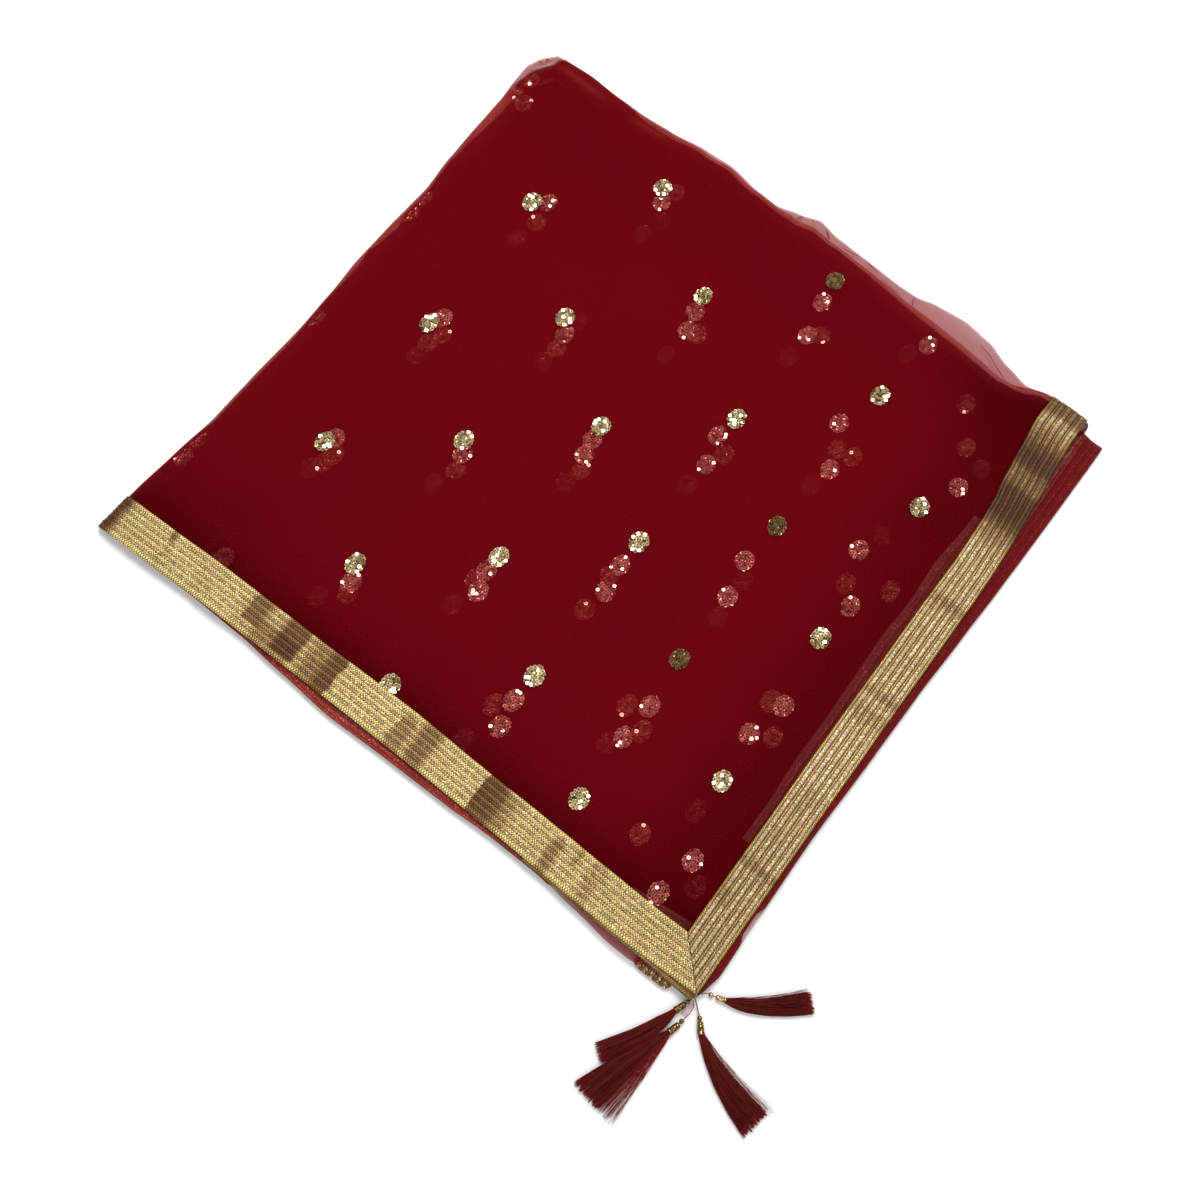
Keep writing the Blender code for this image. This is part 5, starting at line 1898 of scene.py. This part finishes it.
    def turned(self, part: str, rings: Table, place: Place) -> Piece:
        """Turn one gold part about its axis and lay it on its side.

        Args:
            part: Name of the solid that it stands for.
            rings: Radius and height of each ring, closed at the end.
            place: Plan place and heading.

        Returns:
            The finished piece.
        """
        nothing_selected()
        radius, height = rings[0]
        bpy.ops.mesh.primitive_circle_add(
            vertices=self.sides, radius=radius * MM, fill_type="NOTHING", location=(0, 0, 0))
        item = bpy.context.object
        item.name = item.data.name = f"{self.name}_{part}_gold"
        bpy.ops.object.mode_set(mode="EDIT")
        bpy.ops.mesh.select_all(action="SELECT")
        for next_radius, next_height in (*rings[1:], rings[0]):
            rise = (0, 0, (next_height - height) * MM)
            bpy.ops.mesh.extrude_region_move(TRANSFORM_OT_translate={"value": rise})
            ratio = next_radius / radius
            bpy.ops.transform.resize(value=(ratio, ratio, 1), center_override=(0, 0, 0))
            radius, height = next_radius, next_height
        bpy.ops.mesh.select_all(action="SELECT")
        bpy.ops.mesh.remove_doubles(threshold=1e-6)
        bpy.ops.mesh.normals_make_consistent(inside=False)
        bpy.ops.object.mode_set(mode="OBJECT")
        bpy.ops.object.shade_smooth_by_angle(angle=math.radians(40))
        start = Matrix.Translation(Vector((0, 0, height)) * MM)
        lay = Matrix.Translation(Vector((*place[:2], self.axis_height)) * MM) \
            @ Euler((0, QUARTER, math.radians(place[2]))).to_matrix().to_4x4()
        item.data.transform(lay @ start)
        item.data.materials.append(self.gold.material())
        return dressed(item, f"{self.name}_{part}")

    def build(self) -> None:
        """Build the tassel."""
        self.skirt()
        self.cord()
        share = 1 - self.cap_start / self.cap_length
        cap = tuple((radius * self.cap_girth, self.cap_start + height * share)
                    for radius, height in self.cap_rings)
        self.turned("cap", cap, self.cap)
        self.turned("bead", self.bead_rings, self.bead)


# ------------------------------------------------- corner and studio


@dataclass
class CornerTail:
    """A narrow tail of one net layer that hangs between two tassels."""

    finish: NetFinish
    top: tuple[float, float] = (285.6, -284.2)
    length: float = 11.6
    start_width: float = 2.4
    end_width: float = 4.6
    height: float = 1.6

    def build(self) -> Piece:
        """Build the tail.

        Returns:
            The finished piece.
        """
        t, share = np.meshgrid(np.linspace(0, 1, 34), np.linspace(-1, 1, 22),
                               indexing="ij")
        half = mixed(self.start_width, self.end_width, t) / 2
        x = self.top[0] + share * half - 1.1 * np.sin(t * 2.4)
        y = self.top[1] - t * self.length
        z = self.height + 2.2 * (1 - t) ** 2 + 0.35 * np.sin(share * 4 + t * 3)
        edge = np.abs(share) ** 6
        mesh = MeshSet()
        mesh.add_grid(stacked(x, y, np.maximum(z, 0.6)), stacked(x, y), turned=True,
                      beyond=1, shade=1 - 0.3 * edge, doubled=0.35 * edge)
        return mesh.piece("corner_tail", self.finish, Slot.NET_SINGLE, "corner_net_tail")


@dataclass(frozen=True)
class SoftBox:
    """One square soft light that faces the cloth: its place and side in metres."""

    name: str
    place: Place
    size: float
    radiance: float

    def hang(self) -> None:
        """Hang the light."""
        nothing_selected()
        bpy.ops.object.light_add(type="AREA", location=self.place)
        item = bpy.context.object
        item.name = self.name
        item.data.shape = "SQUARE"
        item.data.size = self.size
        item.data.energy = self.radiance * math.pi * self.size * self.size
        item.rotation_euler = (-Vector(self.place)).to_track_quat("-Z", "Y").to_euler()


@dataclass
class Studio:
    """Pale floor, soft light and the camera."""

    place: Place = (159.3, -317.5, 891.7)
    axes: tuple[Place, ...] = (
        (0.7949, -0.596, 0.1138), (0.6037, 0.758, -0.2469), (0.0608, 0.2649, 0.9623))
    lens: float = 36.0
    sensor: float = 36.0
    floor_size: float = 9.0
    sky: float = 0.6
    lights: tuple[SoftBox, ...] = (SoftBox("key_light", (-0.29, 0.57, 1.6), 0.75, 12.4),
                                   SoftBox("fill_light", (1.3, -0.9, 1.7), 1.6, 1))

    def camera(self) -> None:
        """Place the camera."""
        nothing_selected()
        bpy.ops.object.camera_add()
        item = bpy.context.object
        item.name = "camera"
        item.data.lens, item.data.sensor_width = self.lens, self.sensor
        item.data.clip_start, item.data.clip_end = 0.01, 50
        turn = Matrix(self.axes).to_4x4()
        item.matrix_world = Matrix.Translation(Vector(self.place) * MM) @ turn
        bpy.context.scene.camera = item

    def floor(self) -> None:
        """Lay the floor."""
        nothing_selected()
        bpy.ops.mesh.primitive_plane_add(size=self.floor_size, location=(0, 0, 0))
        item = bpy.context.object
        item.name = item.data.name = "studio_floor"
        shader = Shader("studio_floor")
        shader.set(Base_Color=(0.95, 0.95, 0.95), Roughness=0.9, Specular_IOR_Level=0.1)
        item.data.materials.append(shader.material)

    def build(self) -> None:
        """Set the studio up."""
        world = bpy.data.worlds.new("studio_sky")
        world.use_nodes = True
        background = world.node_tree.nodes["Background"]
        background.inputs["Color"].default_value = (1, 1, 1, 1)
        background.inputs["Strength"].default_value = self.sky
        bpy.context.scene.world = world
        bpy.context.scene.view_settings.view_transform = "Standard"
        self.floor()
        for light in self.lights:
            light.hang()
        self.camera()


# ------------------------------------------------------------- build


def build_nets() -> dict[str, Piece]:
    """Build the cloth layers.

    Returns:
        The pieces by name.
    """
    # Net colours over the deep layers, and paler ones over the floor as painted light from the
    # floor beneath
    over, pale, rosy = (0.18, 0.0028, 0.0072), (0.25, 0.019, 0.017), (0.22, 0.014, 0.016)
    layers = (
        LayerStack(StackFinish()),
        NetLayer("net_layer_4", 6.52, 1.45, 2, 0.5,
                 NetFinish("net_fourth", over, rosy, 0.3, 0.6), hides=True),
        NetLayer("net_layer_3", 7, 1.05, 2, 1.1, NetFinish("net_third", over, rosy, 0.3, 0.48)),
        NetLayer("net_layer_2", 7.7, 0.5, 1, 0,
                 NetFinish("net_second", over, rosy, 0.3, 0.7), open_edges=True),
        TopNet(NetFinish("net_top", over, pale, 0.3, 0.62)),
        FoldPleats(NetFinish("net_pleat", over, rosy, 0.3, 0.53)),
    )
    return {item.name: item for item in (layer.build() for layer in layers)}


def build_lace() -> dict[str, Piece]:
    """Build the lace bands, and the strips of lace that show from below.

    Returns:
        The pieces by name.
    """
    # Each finish: light and dark of its plaits, light and dark of its cords, painted glint,
    # metallic
    side_face = LaceFinish(
        "braid_lace_side", (0.69, 0.505, 0.285), (0.14, 0.08, 0.032), (0.98, 0.78, 0.3),
        (0.13, 0.068, 0.008), pattern=LacePattern(
            edge=3.45, braid=2.3, pair=3.12, twist=2.1, cord_shift=0, cord_radius=3.2,
            crossed=True))
    dull = LaceFinish("braid_lace_fold", (0.62, 0.44, 0.24), (0.1, 0.045, 0.014),
                      (0.34, 0.2, 0.05), (0.06, 0.022, 0.004), 1.6)
    side_back = LaceFinish("lace_back_side", (0.74, 0.2, 0.135), (0.24, 0.038, 0.03),
                           (0.6, 0.16, 0.09), (0.15, 0.015, 0.012), 2.2, 0.2)
    end_back = LaceFinish("lace_back_end", (0.4, 0.062, 0.044), (0.12, 0.008, 0.007),
                          (0.3, 0.045, 0.026), (0.05, 0.003, 0.004), 1.8, 0.2)
    edging = LaceFinish("lace_edging", (0.4, 0.25, 0.1), (0.12, 0.055, 0.018),
                        (0.36, 0.21, 0.06), (0.09, 0.04, 0.008))
    far = LaceFinish("lace_far_fold", (0.62, 0.3, 0.3), (0.2, 0.055, 0.05),
                     (0.42, 0.24, 0.09), (0.06, 0.014, 0.008), 1.8, 0.3)
    peek = LaceFinish("lace_under_net", (0.34, 0.055, 0.032), (0.15, 0.01, 0.009),
                      (0.32, 0.05, 0.024), (0.11, 0.007, 0.006), 1.5, 0.2)
    laces = (
        LaceBand("lace_side", side_face, False, SIDE_SHADE_PATCHES,
                 # Painted shade: how light the side's band looks along its length
                 lambda x: 1.06 - 0.03 * step(x, 70, 90) - 0.05 * step(x, 175, 190),
                 "top_lace_side"),
        LaceBand("lace_end", LaceFinish("braid_lace_end"), True, END_SHADE_PATCHES,
                 # Painted shade: how light the end's band looks along its length
                 lambda y: 0.9 + 0.15 * step(y, -112, -100) - 0.1 * step(y, -62, -50),
                 "top_lace_end"),
        LaceStrip("under_lace_side", side_back, 6.2, False, -255, 249,
                  lambda x: read(SIDE_LACE, x, 3) + 32,
                  lambda x: np.maximum(
                      read(SIDE_LACE, x, 3), -280.6 - 8 * step(x, 160, 136)),
                  "second_lace_side", wall=0.9, columns=24),
        LaceStrip("under_lace_end", end_back, 6.2, True, -278, 268.2,
                  lambda y: read(END_LACE, y, 3) - 32,
                  lambda y: read(END_LACE, y, 3) - 0.5
                  - 2.6 * step(y, -232, -224) * step(y, -200, -208),
                  "second_lace_end", wall=0.9, columns=24),
        LaceStrip("third_lace_side", peek, 7.38, False, 204, 251.6,
                  lambda x: -240.6 - (251.6 - x) * 0.11, lambda x: -262,
                  spacing=2, across_end=20),
        LaceStrip("third_lace_end", peek, 7.38, True, -170, 150,
                  lambda y: 243.6 + 1.4 * drift(y, 0, 90, 3)
                  + 3 * ((y + 10) / 160) ** 2,
                  lambda y: 266, across_end=20),
        LaceStrip("third_lace_far", far, 7.3, True, 148, 266.2,
                  lambda y: 270, lambda y: 284.5 + 0.004 * (y - 148),
                  columns=16, spacing=1.6, across_start=17.2),
        LaceStrip("corner_tab", dull, 5.3, False, 234, 265.4,
                  lambda x: -283.2, lambda x: -289.3 + 4 * (np.abs(x - 249.7) / 16) ** 9,
                  "corner_lace_tab", wall=1.1, spacing=0.5, columns=18, sideways=True),
        LaceStrip("corner_fold", edging, 8.7, False, 128, 282.4,
                  lambda x: -276.4,
                  lambda x: -280.6 - 1.9 * step(x, 128, 208) - 1.9 * step(x, 225, 285),
                  "corner_lace_fold", wall=0.5, spacing=0.8, across_start=26.8),
    )
    return {item.name: item for item in (lace.build() for lace in laces)}


def build_tassels() -> None:
    """Build the four corner tassels."""
    yarn, gold = YarnFinish("tassel_yarn"), GoldFinish()
    bronze = GoldFinish("bronze_plate", (0.33, 0.21, 0.075), (0.085, 0.045, 0.01))
    twine = YarnFinish("corner_twine", (0.26, 0.13, 0.045), (0.06, 0.022, 0.008),
                       (0.2, 0.09, 0.03))
    tassels = (
        Tassel("tassel_1", 11, (295.6, -271.2, 17), (325, -257), (352, -233.5),
               (1.6, 4.2, 5.6, 6.9, 7.8), (291.9, -272.2, 14),
               ((285.9, -276, 5.6), (287.6, -274, 4.6)),
               (Spray(380, -1, 0.92, 1.02, 0.1), Spray(26, 0.75, 1.2, 1, 0.12, 0.12)),
               yarn, yarn, gold),
        Tassel("tassel_2", 12, (297.2, -292.5, -50), (331, -313), (366, -323),
               (1.6, 4.4, 6.8, 9.2, 11.2), (294.7, -289.8, -45),
               ((284.4, -281.4, 5.6), (287.2, -283.5, 4.5), (290.6, -286.4, 3.5)),
               (Spray(470, -1, 1, 1.02, 0.09), Spray(34, 0.9, 1.45, 1.06, 0.25, 0.1, 1.2)),
               yarn, twine, bronze, 0.3, -1.6, 1.2),
        Tassel("tassel_3", 13, (284.9, -303.4, -107), (277, -338), (269, -379),
               (1.6, 5, 8.6, 12.8, 17), (285.6, -299.2, -99),
               ((283.8, -282.9, 4.9), (286.9, -286.5, 3.5), (287.2, -291.6, 3.3)),
               (Spray(470, -1.12, 0.26, 1.02, 0.12), Spray(80, 0.22, 1.05, 1.02, 0.14, 0.17, 1)),
               yarn, twine, bronze, cap_start=-1.8, cap_girth=1.2),
        Tassel("tassel_4", 14, (280.3, -289.3, -111), (268.8, -321.2), (251.6, -350.5),
               (1.6, 4.4, 5.4, 6.2, 6.8), (281.4, -286, -108),
               ((282.4, -283.1, 5.2), (282.1, -284.1, 4.2)),
               (Spray(330, -1, 1, 1.02, 0.14),),
               yarn, twine, bronze, cap_start=-1.5, cap_girth=1.2),
    )
    for tassel in tassels:
        tassel.build()


def main() -> None:
    """Build the stole, dress it, and set its studio up."""
    nets = build_nets()
    laces = build_lace()
    fields = (
        FlowerField(Depth.TOP, SequinFinish("sequin_champagne"), 40, (3, 5)),
        # The sequins under the top net are darker, redder copies of the champagne: painted light,
        # for the light that the nets over them filter and dim
        FlowerField(Depth.SECOND, SequinFinish(
            "sequin_second", (0.95, 0.25, 0.21), (0.34, 0.028, 0.03), (1, 0.8, 0.62)),
            41, (0, 3)),
        FlowerField(Depth.THIRD, SequinFinish(
            "sequin_third", (0.76, 0.095, 0.08), (0.26, 0.012, 0.016), (1, 0.66, 0.5)),
            42, (0, 1)),
        FlowerField(Depth.DEEP, SequinFinish(
            "sequin_deep", (0.4, 0.028, 0.027), (0.24, 0.008, 0.012), (0.9, 0.5, 0.38)),
            43, (0, 0)),
    )
    flowers = {flower_field.depth: flower_field.build() for flower_field in fields}
    # The tail's pale colour is painted light: the floor's light coming through its one net
    tail = CornerTail(
        NetFinish("net_tail", (0.45, 0.22, 0.24), (0.44, 0.24, 0.26), 0.4, 0.45)).build()
    build_tassels()

    Studio().build()


if __name__ == "__main__":
    main()
